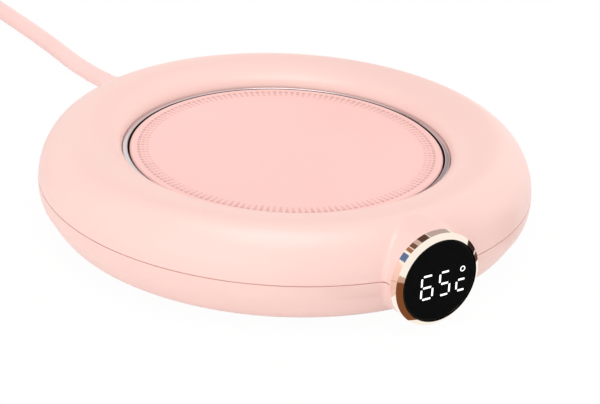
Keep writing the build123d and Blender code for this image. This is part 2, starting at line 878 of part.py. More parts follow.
def display_bezel():
    bore = lens_radius + lens_gap
    step = lens_back - key_travel - stop_gap
    across, back = bezel_bevel
    snap_front = collar_back - end_gap
    snap = turned([
        (barrel_inner, snap_front),
        (barrel_outer + barrel_snap, snap_front),
        (barrel_outer, barrel_end),
        (barrel_inner, barrel_end),
    ])
    return (snap & side_band()) + turned([
        (bore, display_front),
        (bezel_radius - across, display_front),
        (bezel_radius, display_front - back),
        (bezel_radius, pod_front),
        (barrel_outer, pod_front),
        (barrel_outer, barrel_end),
        (barrel_inner, barrel_end),
        (barrel_inner, step),
        (bore, step),
    ])


def lens_blank():
    lens = facing(lens_radius, lens_back, lens_front)
    front = [e for e in lens.edges() if e.bounding_box().max.Y < -lens_front + same_place]
    return fillet(front, lens_recess)


def bar(x, y):
    """One segment through the lens, with its corners taken off."""
    solid = block(x, (-lens_front, -lens_back), (display_z + y[0], display_z + y[1]))
    return chamfer(solid.edges().filter_by(Axis.Y), stroke * stroke_corner)


def stroke_end():
    """How far a segment stops short of the middle line of the one it meets."""
    return stroke * (0.5 - stroke_corner) + stroke_gap / 2 ** 0.5


def seven_segments(left, right, low, high, lit):
    """The lit segments of one figure: a top, b and c right, d bottom, e and f left, g middle."""
    middle = (low + high) / 2
    half = stroke / 2
    end = half + stroke_end()
    across = (left + end, right - end)
    lower = (low + end, middle - stroke_end())
    upper = (middle + stroke_end(), high - end)
    places = {
        "a": (across, (high - stroke, high)),
        "g": (across, (middle - half, middle + half)),
        "d": (across, (low, low + stroke)),
        "f": ((left, left + stroke), upper),
        "e": ((left, left + stroke), lower),
        "b": ((right - stroke, right), upper),
        "c": ((right - stroke, right), lower),
    }
    return [bar(*places[name]) for name in lit]


def digit_solids():
    pieces = seven_segments(six_left, six_right, digit_low, digit_high, "afgecd")
    pieces += seven_segments(five_left, five_right, digit_low, digit_high, "afgcd")
    end = stroke / 2 + stroke_end()
    across = (letter_left + end, letter_right)
    pieces.append(bar(across, (letter_high - stroke, letter_high)))
    pieces.append(bar(across, (letter_low, letter_low + stroke)))
    pieces.append(bar((letter_left, letter_left + stroke),
                      (letter_low + end, letter_high - end)))
    x, z = degree_centre[0], display_z + degree_centre[1]
    outer = lying(degree_outer, -lens_front, -lens_back, x, z)
    pieces.append(outer - lying(degree_inner, -lens_front - over, -lens_back + over, x, z))
    return pieces


def display_cup():
    bore = cup_radius - cup_wall
    cup = facing(cup_radius, cup_back, lens_back)
    cup -= facing(bore, display_board_back, lens_back + over)
    cup -= facing(bore - cup_wall, cup_inside, lens_back)
    flange = facing(cup_radius + cup_flange, cup_back, cup_back + cup_flange)
    return cup + (flange & side_band()) + facing(stem_radius, stem_end, cup_back)


def led_module():
    body = facing(cup_radius - cup_wall - cup_clearance, led_back, led_front)
    return chamfer(body.edges(), part_bevel)


def display_board():
    return facing(cup_radius - cup_wall - cup_clearance, display_board_back, led_back)


def tact_switch():
    half = tact_size / 2
    body = block((-half, half), (-tact_front, -tact_back), (display_z - half, display_z + half))
    body = chamfer(body.edges().filter_by(Axis.Y), part_bevel)
    bore = tact_plunger_radius + post_running_gap
    return body - facing(bore, tact_front - tact_bore_depth, tact_front + over)


def tact_switch_plunger():
    back = tact_front - tact_bore_depth + key_travel + stop_gap
    return facing(tact_plunger_radius, back, stem_end - end_gap)


def switch_board():
    half_x, half_z = switch_board_size[0] / 2, switch_board_size[1] / 2
    board = block((-half_x, half_x), (-tact_back, -switch_board_back),
                  (display_z - half_z, display_z + half_z))
    return fillet(board.edges().filter_by(Axis.Y), switch_board_corner)


# ---- Cord, inside the housing ----
def clamp_span():
    return (clamp_place - clamp_size[1] / 2, clamp_place + clamp_size[1] / 2)


def cable_clamp():
    half_x = clamp_size[0] / 2
    top = exit_z + clamp_size[2]
    bridge = block((-half_x, half_x), clamp_span(), (exit_z, top))
    bridge = fillet(bridge.edges().filter_by(Axis.Z), clamp_round)
    bridge -= lying(cord_radius, 0, body_radius, 0.0, exit_z)
    hole = clamp_screw_radius + screw_clearance
    for side in (-1, 1):
        bridge -= disc(hole, exit_z - over, top + over, side * clamp_screw_offset, clamp_place)
    return bridge


def clamp_screws():
    seat = exit_z + clamp_size[2]
    tip = base_inside_z + screw_tip_gap
    return group([lowered_screw(clamp_screw_radius, board_screw_head, board_screw_head_height,
                                seat, tip, side * clamp_screw_offset, clamp_place)
                  for side in (-1, 1)])


def cord_inner():
    """The jacketed end of the cord, from the strain relief to just past the clamp."""
    return lying(cord_radius, cord_inner_end, relief_inner_end, 0.0, exit_z)


# ---- Cord, outside the housing ----
def strain_relief():
    shoulder_radius, shoulder = relief_shoulder
    inner = relief_inner_end
    neck = lying(collar_bore - relief_neck_clearance, inner, collar_front + shoulder, 0.0, exit_z)
    neck += lying(relief_inner_flange, inner, inner + shoulder, 0.0, exit_z)
    neck += lying(shoulder_radius, collar_front, collar_front + shoulder, 0.0, exit_z)
    axis = Plane(origin=(0, collar_front, exit_z),
                 z_dir=(0, cos(radians(relief_tilt)), -sin(radians(relief_tilt))))
    cone = Cone(relief_base_radius, relief_tip_radius, relief_length)
    cone = axis * (Pos(0, 0, relief_length / 2) * cone)
    pitch = relief_length / (relief_rib_count + 2)
    width = pitch * relief_groove_share
    for i in range(relief_rib_count):
        place = pitch * (i + relief_first_groove)
        radius = relief_base_radius + (relief_tip_radius - relief_base_radius) * place / relief_length
        groove = Cylinder(radius + over, width) - Cylinder(radius - relief_rib_depth, width)
        cone -= axis * (Pos(0, 0, place) * groove)
    behind = block((-beyond, beyond), (inner, collar_front), (-beyond, beyond))
    return neck + (cone - behind)


def route_radii(points):
    """One radius for each corner, as large as its two runs allow."""
    radii = []
    for before, corner, after in zip(points, points[1:], points[2:]):
        first, second = Vector(*corner) - Vector(*before), Vector(*after) - Vector(*corner)
        turn = radians(first.get_angle(second))
        radii.append(bend_share * min(first.length, second.length) / tan(turn / 2))
    return radii


def cord_tube(name, points):
    """Plain round tube along straight runs and tangent arcs."""
    radii = route_radii(points)
    path = FilletPolyline(*points, radius=radii)
    start = Plane(origin=path @ 0, z_dir=path % 0)
    tube = sweep(start * Circle(cord_radius), path=path)
    expected = pi * cord_radius ** 2 * path.length
    print(name, "length", round(path.length, 1), "radii", [round(r) for r in radii],
          "volume ratio", round(tube.volume / expected, 4))
    return tube


def tie_blank(grow=0.0):
    """Block that the tie's strap is cut from, across one side of the coil."""
    low = 0.0 if grow else tie_thickness
    span = (coil_inner - grow, coil_outer + grow)
    piece = block(span, (-tie_width / 2, tie_width / 2), (low, coil_top_z + grow))
    return Pos(coil_centre[0], coil_centre[1], 0) * Rot(0, 0, tie_angle) * piece


def cord_coil():
    """Outer shape of the coiled cord, notched where the tie passes under it."""
    x, y = coil_centre
    coil = ring(coil_inner, coil_outer, cord_floor_gap, coil_top_z, x, y)
    coil = fillet(coil.edges().filter_by(GeomType.CIRCLE), coil_round)
    return coil - (tie_blank(tie_thickness) - tie_blank())


def coil_tie():
    return tie_blank(tie_thickness) - tie_blank()


def plug_body():
    x, rear_y, z = plug_rear
    width, length, height = plug_size
    body = block((x - width / 2, x + width / 2), (rear_y - length, rear_y),
                 (z - height / 2, z + height / 2))
    body = fillet(body.edges().filter_by(Axis.Y), plug_round)
    body = fillet(body.edges().group_by(Axis.Y)[-1], plug_rear_round)
    turn = radians(plug_neck_tilt)
    neck = Plane(origin=(x, rear_y, z), z_dir=(0, cos(turn), -sin(turn))) * (
        Pos(0, 0, plug_neck_length / 2) * Cone(plug_neck_radius, plug_tip_radius, plug_neck_length))
    for side in (-1, 1):
        body -= blade(side)
    return body + neck


def blade(side):
    """Flat blade, rooted in the plug's face."""
    x, rear_y, z = plug_rear
    thickness, length, width = blade_size
    face_y = rear_y - plug_size[1]
    middle = x + side * blade_spacing / 2
    return block((middle - thickness / 2, middle + thickness / 2),
                 (face_y - length, face_y + blade_root), (z - width / 2, z + width / 2))


def plug_blades():
    return group([blade(side) for side in (-1, 1)])


# ---- All nodes ----
def build_parts():
    shell = housing_shell()
    digits = digit_solids()
    parts = {
        "top_shell": top_shell(shell),
        "bottom_shell": bottom_shell(shell),
        "trim_ring": trim_ring(),
        "rubber_feet": rubber_feet(),
        "case_screws": case_screws(),
        "heating_plate": heating_plate(),
        "heater_film": heater_film(),
        "insulation_pad": insulation_pad(),
        "plate_carrier": plate_carrier(),
        "carrier_screws": carrier_screws(),
        "temperature_sensor": temperature_sensor(),
        "sensor_clip": sensor_clip(),
        "thermal_fuse": thermal_fuse(),
        "gravity_switch": gravity_switch(),
        "gravity_switch_plunger": gravity_switch_plunger(),
        "main_board": main_board(),
        "board_screws": board_screws(),
        "film_capacitor": film_capacitor(),
        "smoothing_capacitor": smoothing_capacitor(),
        "rectifier": rectifier(),
        "control_chip": control_chip(),
        "triac": triac(),
        "terminal_block": terminal_block(),
        "board_fuse": board_fuse(),
        "heater_leads": heater_leads(),
        "mains_leads": mains_leads(),
        "ribbon_cable": ribbon_cable(),
        "display_bezel": display_bezel(),
        "display_lens": lens_blank() - sum_of(digits),
        "display_digits": group(digits),
        "display_cup": display_cup(),
        "led_module": led_module(),
        "display_board": display_board(),
        "tact_switch": tact_switch(),
        "tact_switch_plunger": tact_switch_plunger(),
        "switch_board": switch_board(),
        "cable_clamp": cable_clamp(),
        "clamp_screws": clamp_screws(),
        "cord_inner": cord_inner(),
        "strain_relief": strain_relief(),
        "cord_lead": cord_tube("cord_lead", lead_route),
        "cord_coil": cord_coil(),
        "cord_tail": cord_tube("cord_tail", tail_route),
        "coil_tie": coil_tie(),
        "plug_body": plug_body(),
        "plug_blades": plug_blades(),
    }
    for number, (x, y) in enumerate(around(post_count, post_circle, 45.0), start=1):
        parts[f"plate_spring_{number}"] = plate_spring(x, y)
    return parts


os.makedirs("parts", exist_ok=True)
for node, shape in build_parts().items():
    export_step(shape, f"parts/{node}.step")
    print(node, len(shape.solids()), round(shape.volume, 1))
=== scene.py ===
# %% [markdown]
# # An electric mug warmer
#
# A low pink ring holds a heated plate for a mug. A round display at the front shows the
# plate's temperature, and a cord leaves at the back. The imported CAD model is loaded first
# as a fixed frame: its pieces are already at their real places, in metres, and nothing in
# this lesson moves them. Each step below then dresses one piece or one finish.

# %% Load the frame
import json
import math
import bmesh
import bpy
from mathutils import Matrix, Vector

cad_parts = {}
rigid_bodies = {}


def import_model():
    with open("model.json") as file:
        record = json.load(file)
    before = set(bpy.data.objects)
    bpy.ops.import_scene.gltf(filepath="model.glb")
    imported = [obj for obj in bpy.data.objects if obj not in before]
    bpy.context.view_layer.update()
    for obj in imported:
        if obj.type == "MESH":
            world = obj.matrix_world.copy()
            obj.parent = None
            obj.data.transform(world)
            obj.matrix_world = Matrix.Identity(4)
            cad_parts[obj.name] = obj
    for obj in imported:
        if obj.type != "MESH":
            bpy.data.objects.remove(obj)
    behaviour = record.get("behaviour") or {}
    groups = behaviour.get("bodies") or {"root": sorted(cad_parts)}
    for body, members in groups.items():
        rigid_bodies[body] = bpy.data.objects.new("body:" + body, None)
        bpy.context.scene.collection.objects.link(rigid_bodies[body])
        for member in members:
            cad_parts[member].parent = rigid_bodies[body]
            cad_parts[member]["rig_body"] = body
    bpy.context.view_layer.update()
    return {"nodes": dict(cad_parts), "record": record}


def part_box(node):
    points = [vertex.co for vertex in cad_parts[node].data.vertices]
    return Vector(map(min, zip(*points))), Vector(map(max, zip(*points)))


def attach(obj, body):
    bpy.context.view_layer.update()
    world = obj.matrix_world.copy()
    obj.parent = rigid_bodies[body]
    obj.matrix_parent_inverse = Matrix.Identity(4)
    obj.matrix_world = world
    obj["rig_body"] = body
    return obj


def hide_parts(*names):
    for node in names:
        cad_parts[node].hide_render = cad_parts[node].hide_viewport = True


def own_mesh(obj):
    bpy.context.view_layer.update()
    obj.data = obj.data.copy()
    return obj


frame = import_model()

scene = bpy.context.scene
scene.view_settings.view_transform = "Standard"

# %% [markdown]
# ## The camera
#
# The object is flat and round, so it is seen from a low angle through a long lens: the ring
# stays a clean ellipse and the display faces the viewer. A tracking constraint could aim
# the camera, but would leave its roll to chance. Four plain facts place it instead: how far
# round the object it stands, how high, how far away, and how much it is rolled.

# %% Place the camera
camera_turn = math.radians(-34.08)
camera_height = math.radians(24.97)
camera_roll = math.radians(2.92)
camera_distance = 0.600
camera_aim = Vector((0.00323, -0.00219, 0.00547))
lens_length = 146.8
sensor_width = 36
nearest_seen, farthest_seen = 0.01, 20


def camera_axes(turn, height, roll):
    """The camera's right, up and backward directions."""
    back = Vector((math.sin(turn) * math.cos(height), -math.cos(turn) * math.cos(height),
                   math.sin(height)))
    level = Vector((math.cos(turn), math.sin(turn), 0))
    upright = back.cross(level)
    right = level * math.cos(roll) + upright * math.sin(roll)
    up = upright * math.cos(roll) - level * math.sin(roll)
    return right, up, back


right, up, back = camera_axes(camera_turn, camera_height, camera_roll)
camera_data = bpy.data.cameras.new("camera")
camera_data.lens = lens_length
camera_data.sensor_width = sensor_width
camera_data.clip_start = nearest_seen
camera_data.clip_end = farthest_seen
camera = bpy.data.objects.new("camera", camera_data)
scene.collection.objects.link(camera)
place = camera_aim + back * camera_distance
camera.matrix_world = Matrix((
    (right.x, up.x, back.x, place.x),
    (right.y, up.y, back.y, place.y),
    (right.z, up.z, back.z, place.z),
    (0, 0, 0, 1)))
scene.camera = camera
print("camera at", [round(v, 3) for v in place])

# %% [markdown]
# ## The cord
#
# The cord is a soft pink jacket 4.6 mm thick and about 1.2 m long. It leaves the strain
# relief, comes down to the table and runs straight back, and its spare length is wound
# into a neat coil of two layers with the plug beside it. It could be a chain of short
# tubes, but joints would show. One NURBS spline rounds every bend by itself, so a few
# given points are enough where the cord lies loose.

# %% The cord's route outside the coil
cord_radius = 0.0023
floor_clearance = 0.00005
cord_floor = cord_radius + floor_clearance
cord_exit = (0.0, 0.084427, 0.004686)
plug_entry = (-0.0754, 0.135912, 0.005247)
lead_points = [
    cord_exit,
    (0.0, 0.10105, cord_floor),
    (0.0013, 0.1290, cord_floor),
    (0.0006, 0.1580, cord_floor),
    (0.0004, 0.1775, cord_floor),
]
tail_points = [
    (-0.0652, 0.2024, 0.0062),
    (-0.0729, 0.1902, 0.0036),
    (-0.0769, 0.1764, cord_floor),
    (-0.0770, 0.1622, 0.00245),
    (-0.0754, 0.1483, 0.00351),
    plug_entry,
]
print("route:", len(lead_points), "points before the coil and", len(tail_points), "after it")

# %% [markdown]
# A spiral of points makes the coil. The first three turns lie on the table and come
# inwards, half a turn climbs onto them, and the last turns go outwards again on top. Each
# place follows from how many turns have been wound, so a rule gives the points and none is
# placed by hand. The spline cuts a little inside its points, so they stand that much
# further out.

# %% The coil's turns
coil_centre = Vector((-0.0320, 0.1900, 0.0))
coil_outer = 0.0322
coil_pitch = 0.00462
points_per_turn = 16
turns_below = 3.0
turns_climbing = 0.5
turns_all = 6.375
climb_tuck = 0.0009
layer_height = 0.0046
# A spline of order 3 passes a quarter of the way from each point to its neighbours' middle.
spline_shrink = 0.75 + 0.25 * math.cos(2 * math.pi / points_per_turn)


def coil_radius(turn):
    """Distance from the coil's middle after so many turns."""
    inner = coil_outer - coil_pitch * turns_below
    climbed = (turn - turns_below) / turns_climbing
    if turn <= turns_below:
        return coil_outer - coil_pitch * turn
    if climbed <= 1:
        return inner - climb_tuck * math.sin(math.pi * climbed)
    return inner + coil_pitch * (turn - turns_below - turns_climbing)


def coil_rise(turn):
    """Height above the first layer, with a soft start and end to the climb."""
    share = min(1.0, max(0.0, (turn - turns_below) / turns_climbing))
    return layer_height * share * share * (3 - 2 * share)


print("coil:", turns_all, "turns from", coil_outer, "m in to", round(coil_radius(turns_below), 4))

# %% The lift over the tie
tie_angle = 80.0
tie_lift = 0.00045
tie_half_angle = 26.0
full_lift_share = 0.5


def lift_over_tie(turn):
    """The turns rise a little where the tie's strap passes under them."""
    away = abs((turn * 360 - tie_angle + 180) % 360 - 180)
    share = max(0.0, 1 - away / tie_half_angle)
    return tie_lift * min(1.0, share / full_lift_share)


def coil_points():
    """Points along the whole coil, from its outside in and out again on top."""
    points = []
    for i in range(int(turns_all * points_per_turn) + 1):
        turn = i / points_per_turn
        radius = coil_radius(turn) / spline_shrink
        angle = 2 * math.pi * turn
        height = cord_floor + coil_rise(turn) + lift_over_tie(turn)
        points.append((coil_centre.x + radius * math.cos(angle),
                       coil_centre.y + radius * math.sin(angle), height))
    return points


print("coil points:", len(coil_points()))

# %% [markdown]
# A curve's bevel gives the round section. The bevel is left at 1 and the real radius is
# kept on the points, because Blender measures a curve's box by its points' radii alone.

# %% Make the cord as one curve
section_steps = 5
length_steps = 6
spline_order = 3


def smooth_tube(name, points, radius):
    """A round tube along one smooth NURBS spline."""
    curve = bpy.data.curves.new(name, "CURVE")
    curve.dimensions = "3D"
    curve.bevel_depth = 1.0
    curve.bevel_resolution = section_steps
    curve.resolution_u = length_steps
    curve.use_fill_caps = True
    spline = curve.splines.new("NURBS")
    spline.points.add(len(points) - 1)
    for point, at in zip(spline.points, points):
        point.co = (*at, 1)
        point.radius = radius
    spline.order_u = spline_order
    spline.use_endpoint_u = True
    tube = bpy.data.objects.new(name, curve)
    scene.collection.objects.link(tube)
    return tube


cord = smooth_tube("cord", lead_points + coil_points() + tail_points, cord_radius)

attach(cord, "housing")
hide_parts("cord_lead", "cord_coil", "cord_tail")

# %% [markdown]
# ## Finishes
#
# Every finish starts the same way: one Principled shader, with patterns that are laid out
# in the object's own coordinates, so they stay on the piece when it moves. An image would
# need unwrapping and would blur up close, so each pattern is a rule. Colours are written as
# a screen shows them, 0 to 255, and turned into the linear values that the shader takes.

# %% Colours
def screen_colour(red, green, blue):
    """Linear colour of a screen colour, by the standard curve that screens follow."""
    def linear(step):
        value = step / 255
        return value / 12.92 if value <= 0.04045 else ((value + 0.055) / 1.055) ** 2.4
    return (linear(red), linear(green), linear(blue), 1.0)


def shade(colour, amount):
    """The colour made darker or lighter by a factor."""
    return tuple(min(1.0, c * amount) for c in colour[:3]) + (1.0,)


print("mid grey is", round(screen_colour(128, 128, 128)[0], 3))


# %% Nodes and their links
def new_material(name):
    """A material with its node tree and its one shader."""
    material = bpy.data.materials.new(name)
    material.use_nodes = True
    return material, material.node_tree, material.node_tree.nodes["Principled BSDF"]


def add_node(tree, kind, inputs=None, **settings):
    """Adds a node, with its own settings and the values of its named inputs."""
    made = tree.nodes.new(kind)
    for name, value in settings.items():
        setattr(made, name, value)
    for name, value in (inputs or {}).items():
        made.inputs[name].default_value = value
    return made


def wire(tree, *pairs):
    """Joins outputs to inputs, each pair in its turn."""
    for source, target in pairs:
        tree.links.new(source, target)


# %% Patterns
noise_low, noise_high = 0.3, 0.7


def object_place(tree, stretch=(1, 1, 1)):
    """The piece's own coordinates, stretched."""
    source = add_node(tree, "ShaderNodeTexCoord")
    mapping = add_node(tree, "ShaderNodeMapping", {"Scale": stretch})
    wire(tree, (source.outputs["Object"], mapping.inputs["Vector"]))
    return mapping.outputs["Vector"]


def noise(tree, scale, detail=2.0, stretch=(1, 1, 1)):
    """Cloudy pattern with so many clouds to the metre."""
    pattern = add_node(tree, "ShaderNodeTexNoise", {"Scale": scale, "Detail": detail})
    wire(tree, (object_place(tree, stretch), pattern.inputs["Vector"]))
    return pattern.outputs["Fac"]


def ramp(tree, factor, stops):
    """Colour ramp between two (place, colour) stops."""
    made = add_node(tree, "ShaderNodeValToRGB")
    for element, (position, colour) in zip(made.color_ramp.elements, stops):
        element.position = position
        element.color = colour
    wire(tree, (factor, made.inputs["Fac"]))
    return made.outputs["Color"]


def spread(tree, factor, low, high):
    """Stretches noise, which keeps to its middle values, over a wider range."""
    made = add_node(tree, "ShaderNodeMapRange", {
        "From Min": noise_low, "From Max": noise_high, "To Min": low, "To Max": high})
    wire(tree, (factor, made.inputs["Value"]))
    return made.outputs["Result"]


def relief(tree, shader, height, depth):
    """Fine relief of the surface, depth in metres, on top of what is there already."""
    bump = add_node(tree, "ShaderNodeBump", {"Distance": depth, "Strength": 1.0})
    before = shader.inputs["Normal"].links
    if before:
        wire(tree, (before[0].from_socket, bump.inputs["Normal"]))
    wire(tree, (height, bump.inputs["Height"]),
         (bump.outputs["Normal"], shader.inputs["Normal"]))


# %% [markdown]
# Most finishes differ in only a few facts: colour, how cloudy it is, how rough, how deep
# its grain is and how closely the grain is set. One builder takes those facts. Finishes
# that have a pattern of their own are made with the same helpers further down.

# %% The common builder
cloud_detail = 3.0
cloud_dark_at, cloud_light_at = 0.35, 0.65
coat_roughness = 0.12


def make_finish(name, colour, roughness, clouds=0.03, cloud_scale=60, grain=0.00001,
                grain_scale=2500, rough_spread=0.05, metallic=0.0, coat=0.0, specular=0.5,
                stretch=(1, 1, 1)):
    """A finish with soft clouds in its colour and fine grain in its gloss and surface."""
    material, tree, shader = new_material(name)
    cloudy = noise(tree, cloud_scale, cloud_detail, stretch)
    stops = [(cloud_dark_at, shade(colour, 1 - clouds)),
             (cloud_light_at, shade(colour, 1 + clouds))]
    fine = noise(tree, grain_scale, stretch=stretch)
    rough = spread(tree, fine, roughness - rough_spread, roughness + rough_spread)
    wire(tree, (ramp(tree, cloudy, stops), shader.inputs["Base Color"]),
         (rough, shader.inputs["Roughness"]))
    relief(tree, shader, fine, grain)
    shader.inputs["Metallic"].default_value = metallic
    shader.inputs["Coat Weight"].default_value = coat
    shader.inputs["Coat Roughness"].default_value = coat_roughness
    shader.inputs["Specular IOR Level"].default_value = specular
    return material


# %% [markdown]
# The housing is satin-gloss moulded plastic: a soft even pink, a grain too fine to see as
# such, and highlights with soft edges. The plate's coating is a touch redder and has the
# fine sparkle of paint on metal, which a thin clear coat over the grain gives. The cord is
# softer and duller than the housing.

# %% Pink finishes
housing_colour = screen_colour(244, 206, 198)
plate_colour = screen_colour(250, 201, 195)
cord_colour = screen_colour(250, 212, 207)

materials = {
    "housing_pink": make_finish("housing_pink", housing_colour, 0.38, clouds=0.012, cloud_scale=18,
                                grain=0.000004, rough_spread=0.03, specular=0.75),
    "plate_pink": make_finish("plate_pink", plate_colour, 0.42, clouds=0.015, cloud_scale=30,
                              grain=0.000008, grain_scale=4000, coat=0.15),
    "cord_pink": make_finish("cord_pink", cord_colour, 0.5, clouds=0.02, cloud_scale=45,
                             grain=0.00001, grain_scale=1800, rough_spread=0.06),
}
print("pink finishes:", sorted(materials))

# %% [markdown]
# The ring round the well and the ring round the display are plated plastic; the screws,
# springs and plug pins are bare metal. A perfect mirror would look drawn, because real
# plating is never quite even, so its gloss changes a little from place to place. The pins
# are cut from strip, and their grain is stretched along them.

# %% Plated and metal finishes
materials["trim_chrome"] = make_finish(
    "trim_chrome", screen_colour(216, 208, 210), 0.10, clouds=0.02, grain=0.000002,
    grain_scale=1500, rough_spread=0.03, metallic=1.0)
materials["bezel_gold"] = make_finish(
    "bezel_gold", screen_colour(253, 240, 226), 0.07, clouds=0.02, grain=0.000002,
    grain_scale=1500, rough_spread=0.03, metallic=1.0)
materials["zinc_steel"] = make_finish(
    "zinc_steel", screen_colour(196, 196, 192), 0.32, clouds=0.08, cloud_scale=400,
    grain=0.000006, metallic=1.0)
materials["spring_steel"] = make_finish(
    "spring_steel", screen_colour(182, 182, 186), 0.25, clouds=0.06, cloud_scale=700,
    grain=0.000004, metallic=1.0)
materials["blade_nickel"] = make_finish(
    "blade_nickel", screen_colour(214, 206, 190), 0.22, clouds=0.05, cloud_scale=300,
    grain=0.000004, metallic=1.0, stretch=(1, 0.15, 1))
print("metal finishes:", len([name for name in materials if "pink" not in name]))

# %% [markdown]
# Inside, each part has the finish that such parts have: matt black and white mouldings, a
# dipped red resin box, a blue sleeved can, tan ceramic tubes, silicone leads and rubber.
# They differ only in colour, roughness and how cloudy they are, so a short list and one
# loop make them all.

# %% Finishes of the inner parts
inner_cloud_scale = 250
inner_grain = 0.00002
plain_finishes = {
    # slot: colour, roughness, clouds
    "black_plastic": (screen_colour(38, 38, 40), 0.45, 0.10),
    "white_plastic": (screen_colour(232, 229, 222), 0.42, 0.03),
    "foot_rubber": (screen_colour(206, 168, 162), 0.75, 0.05),
    "capacitor_red": (screen_colour(168, 62, 36), 0.28, 0.06),
    "can_blue": (screen_colour(38, 54, 104), 0.30, 0.05),
    "fuse_tan": (screen_colour(214, 192, 158), 0.55, 0.06),
    "lead_red": (screen_colour(178, 40, 34), 0.48, 0.05),
}
for slot, (colour, roughness, clouds) in plain_finishes.items():
    materials[slot] = make_finish(slot, colour, roughness, clouds=clouds,
                                  cloud_scale=inner_cloud_scale, grain=inner_grain)
print("plain inner finishes:", len(plain_finishes))

# %% [markdown]
# A circuit board is green lacquer over copper. The tracks show as slightly lighter lines
# with square corners. Tracing real tracks would take a drawing, and a brick pattern at
# board scale gives the same look.

# %% The board's lacquer
track_scale, track_width, track_height = 260.0, 0.035, 0.00003
lacquer_grain_scale = 900
lacquer_gloss = (0.22, 0.36)


def board_finish(name):
    """Green lacquer with the copper tracks showing through."""
    material, tree, shader = new_material(name)
    tracks = add_node(tree, "ShaderNodeTexBrick", {
        "Scale": track_scale, "Mortar Size": track_width,
        "Color1": screen_colour(22, 104, 58), "Color2": screen_colour(18, 92, 50),
        "Mortar": screen_colour(70, 152, 92)})
    wire(tree, (object_place(tree), tracks.inputs["Vector"]),
         (tracks.outputs["Color"], shader.inputs["Base Color"]))
    relief(tree, shader, tracks.outputs["Fac"], track_height)
    gloss = spread(tree, noise(tree, lacquer_grain_scale), *lacquer_gloss)
    wire(tree, (gloss, shader.inputs["Roughness"]))
    return material


materials["board_green"] = board_finish("board_green")
print("board nodes:", len(materials["board_green"].node_tree.nodes))

# %% [markdown]
# The heater is a metal track etched as rings in amber film, and the pad under it is pressed
# fibre. A wave of rings about the plate's axis draws the track, and two noises stretched
# across each other lay the fibres.

# %% The heater and the pad
ring_scale, ring_height = 70.0, 0.00004
amber_until, metal_from = 0.42, 0.58
foil_metallic, foil_roughness = 0.35, 0.3
fibre_scale, fibre_detail, fibre_depth = 500, 8.0, 0.0003
fibre_squeeze = 0.2
pad_roughness = 0.95


def heater_finish(name):
    """Rings of bright track in amber film."""
    material, tree, shader = new_material(name)
    rings = add_node(tree, "ShaderNodeTexWave", {"Scale": ring_scale, "Distortion": 0.0},
                     wave_type="RINGS", rings_direction="Z")
    wire(tree, (object_place(tree), rings.inputs["Vector"]))
    stops = [(amber_until, screen_colour(188, 116, 44)), (metal_from, screen_colour(226, 196, 150))]
    wire(tree, (ramp(tree, rings.outputs["Fac"], stops), shader.inputs["Base Color"]))
    relief(tree, shader, rings.outputs["Fac"], ring_height)
    shader.inputs["Metallic"].default_value = foil_metallic
    shader.inputs["Roughness"].default_value = foil_roughness
    return material


def fibre_finish(name):
    """Pale pressed fibres that lie both ways."""
    material, tree, shader = new_material(name)
    fibres = noise(tree, fibre_scale, fibre_detail, (1, fibre_squeeze, 1))
    crossing = noise(tree, fibre_scale, fibre_detail, (fibre_squeeze, 1, 1))
    stops = [(noise_low, screen_colour(196, 190, 176)), (noise_high, screen_colour(240, 236, 226))]
    wire(tree, (ramp(tree, fibres, stops), shader.inputs["Base Color"]))
    relief(tree, shader, fibres, fibre_depth)
    relief(tree, shader, crossing, fibre_depth)
    shader.inputs["Roughness"].default_value = pad_roughness
    return material


materials["heater_foil"] = heater_finish("heater_foil")
materials["glass_wool"] = fibre_finish("glass_wool")
print("finishes so far:", len(materials))

# %% [markdown]
# The display's front is smoked plastic polished to a black mirror, and the figures are
# windows lit white from behind. A lamp behind each window would light the whole inside, so
# the windows' own material emits just enough to read as white.

# %% Display finishes
glow_scale = 900
glow_dip = 0.94
window_body = 0.6
window_roughness = 0.4
window_strength = 1.0

materials["lens_black"] = make_finish(
    "lens_black", screen_colour(16, 16, 17), 0.10, clouds=0.05, grain=0.000001,
    rough_spread=0.02, specular=0.3)


def lit_finish(name, colour, strength):
    """A window lit from behind, a little uneven as such windows are."""
    material, tree, shader = new_material(name)
    stops = [(noise_low, shade(colour, glow_dip)), (noise_high, colour)]
    glow = ramp(tree, noise(tree, glow_scale), stops)
    wire(tree, (glow, shader.inputs["Emission Color"]))
    shader.inputs["Emission Strength"].default_value = strength
    shader.inputs["Base Color"].default_value = shade(colour, window_body)
    shader.inputs["Roughness"].default_value = window_roughness
    return material


materials["digit_white"] = lit_finish("digit_white", screen_colour(255, 255, 255), window_strength)
print("finishes:", len(materials))

# %% [markdown]
# ## Dressing the CAD nodes
#
# Fifty nodes dressed by hand would soon have one left out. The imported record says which
# finish every node has, so one loop gives each its material.

# %% A material on every node
slot_of = {part["node"]: part["material_slot"] for part in frame["record"]["subparts"]}
for name, node in frame["nodes"].items():
    node.data.materials.clear()
    node.data.materials.append(materials[slot_of[name]])
print("dressed", len(slot_of), "nodes")

# %% [markdown]
# ## Smooth skins for what shows
#
# A CAD node arrives as loose flat triangles, which glitter under a soft light. Shading them
# smooth as they are would change nothing, because no two triangles share a corner. What
# shows gets a skin: a copy whose loose corners are merged, shaded smooth, and kept crisp
# only where two faces meet at a real edge.

# %% Merge and smooth a mesh
crisp_edge = math.radians(32)
merge_distance = 0.000001


def link_mesh(name, mesh):
    """Puts a mesh into the scene as an object at the origin."""
    piece = bpy.data.objects.new(name, mesh)
    scene.collection.objects.link(piece)
    return piece


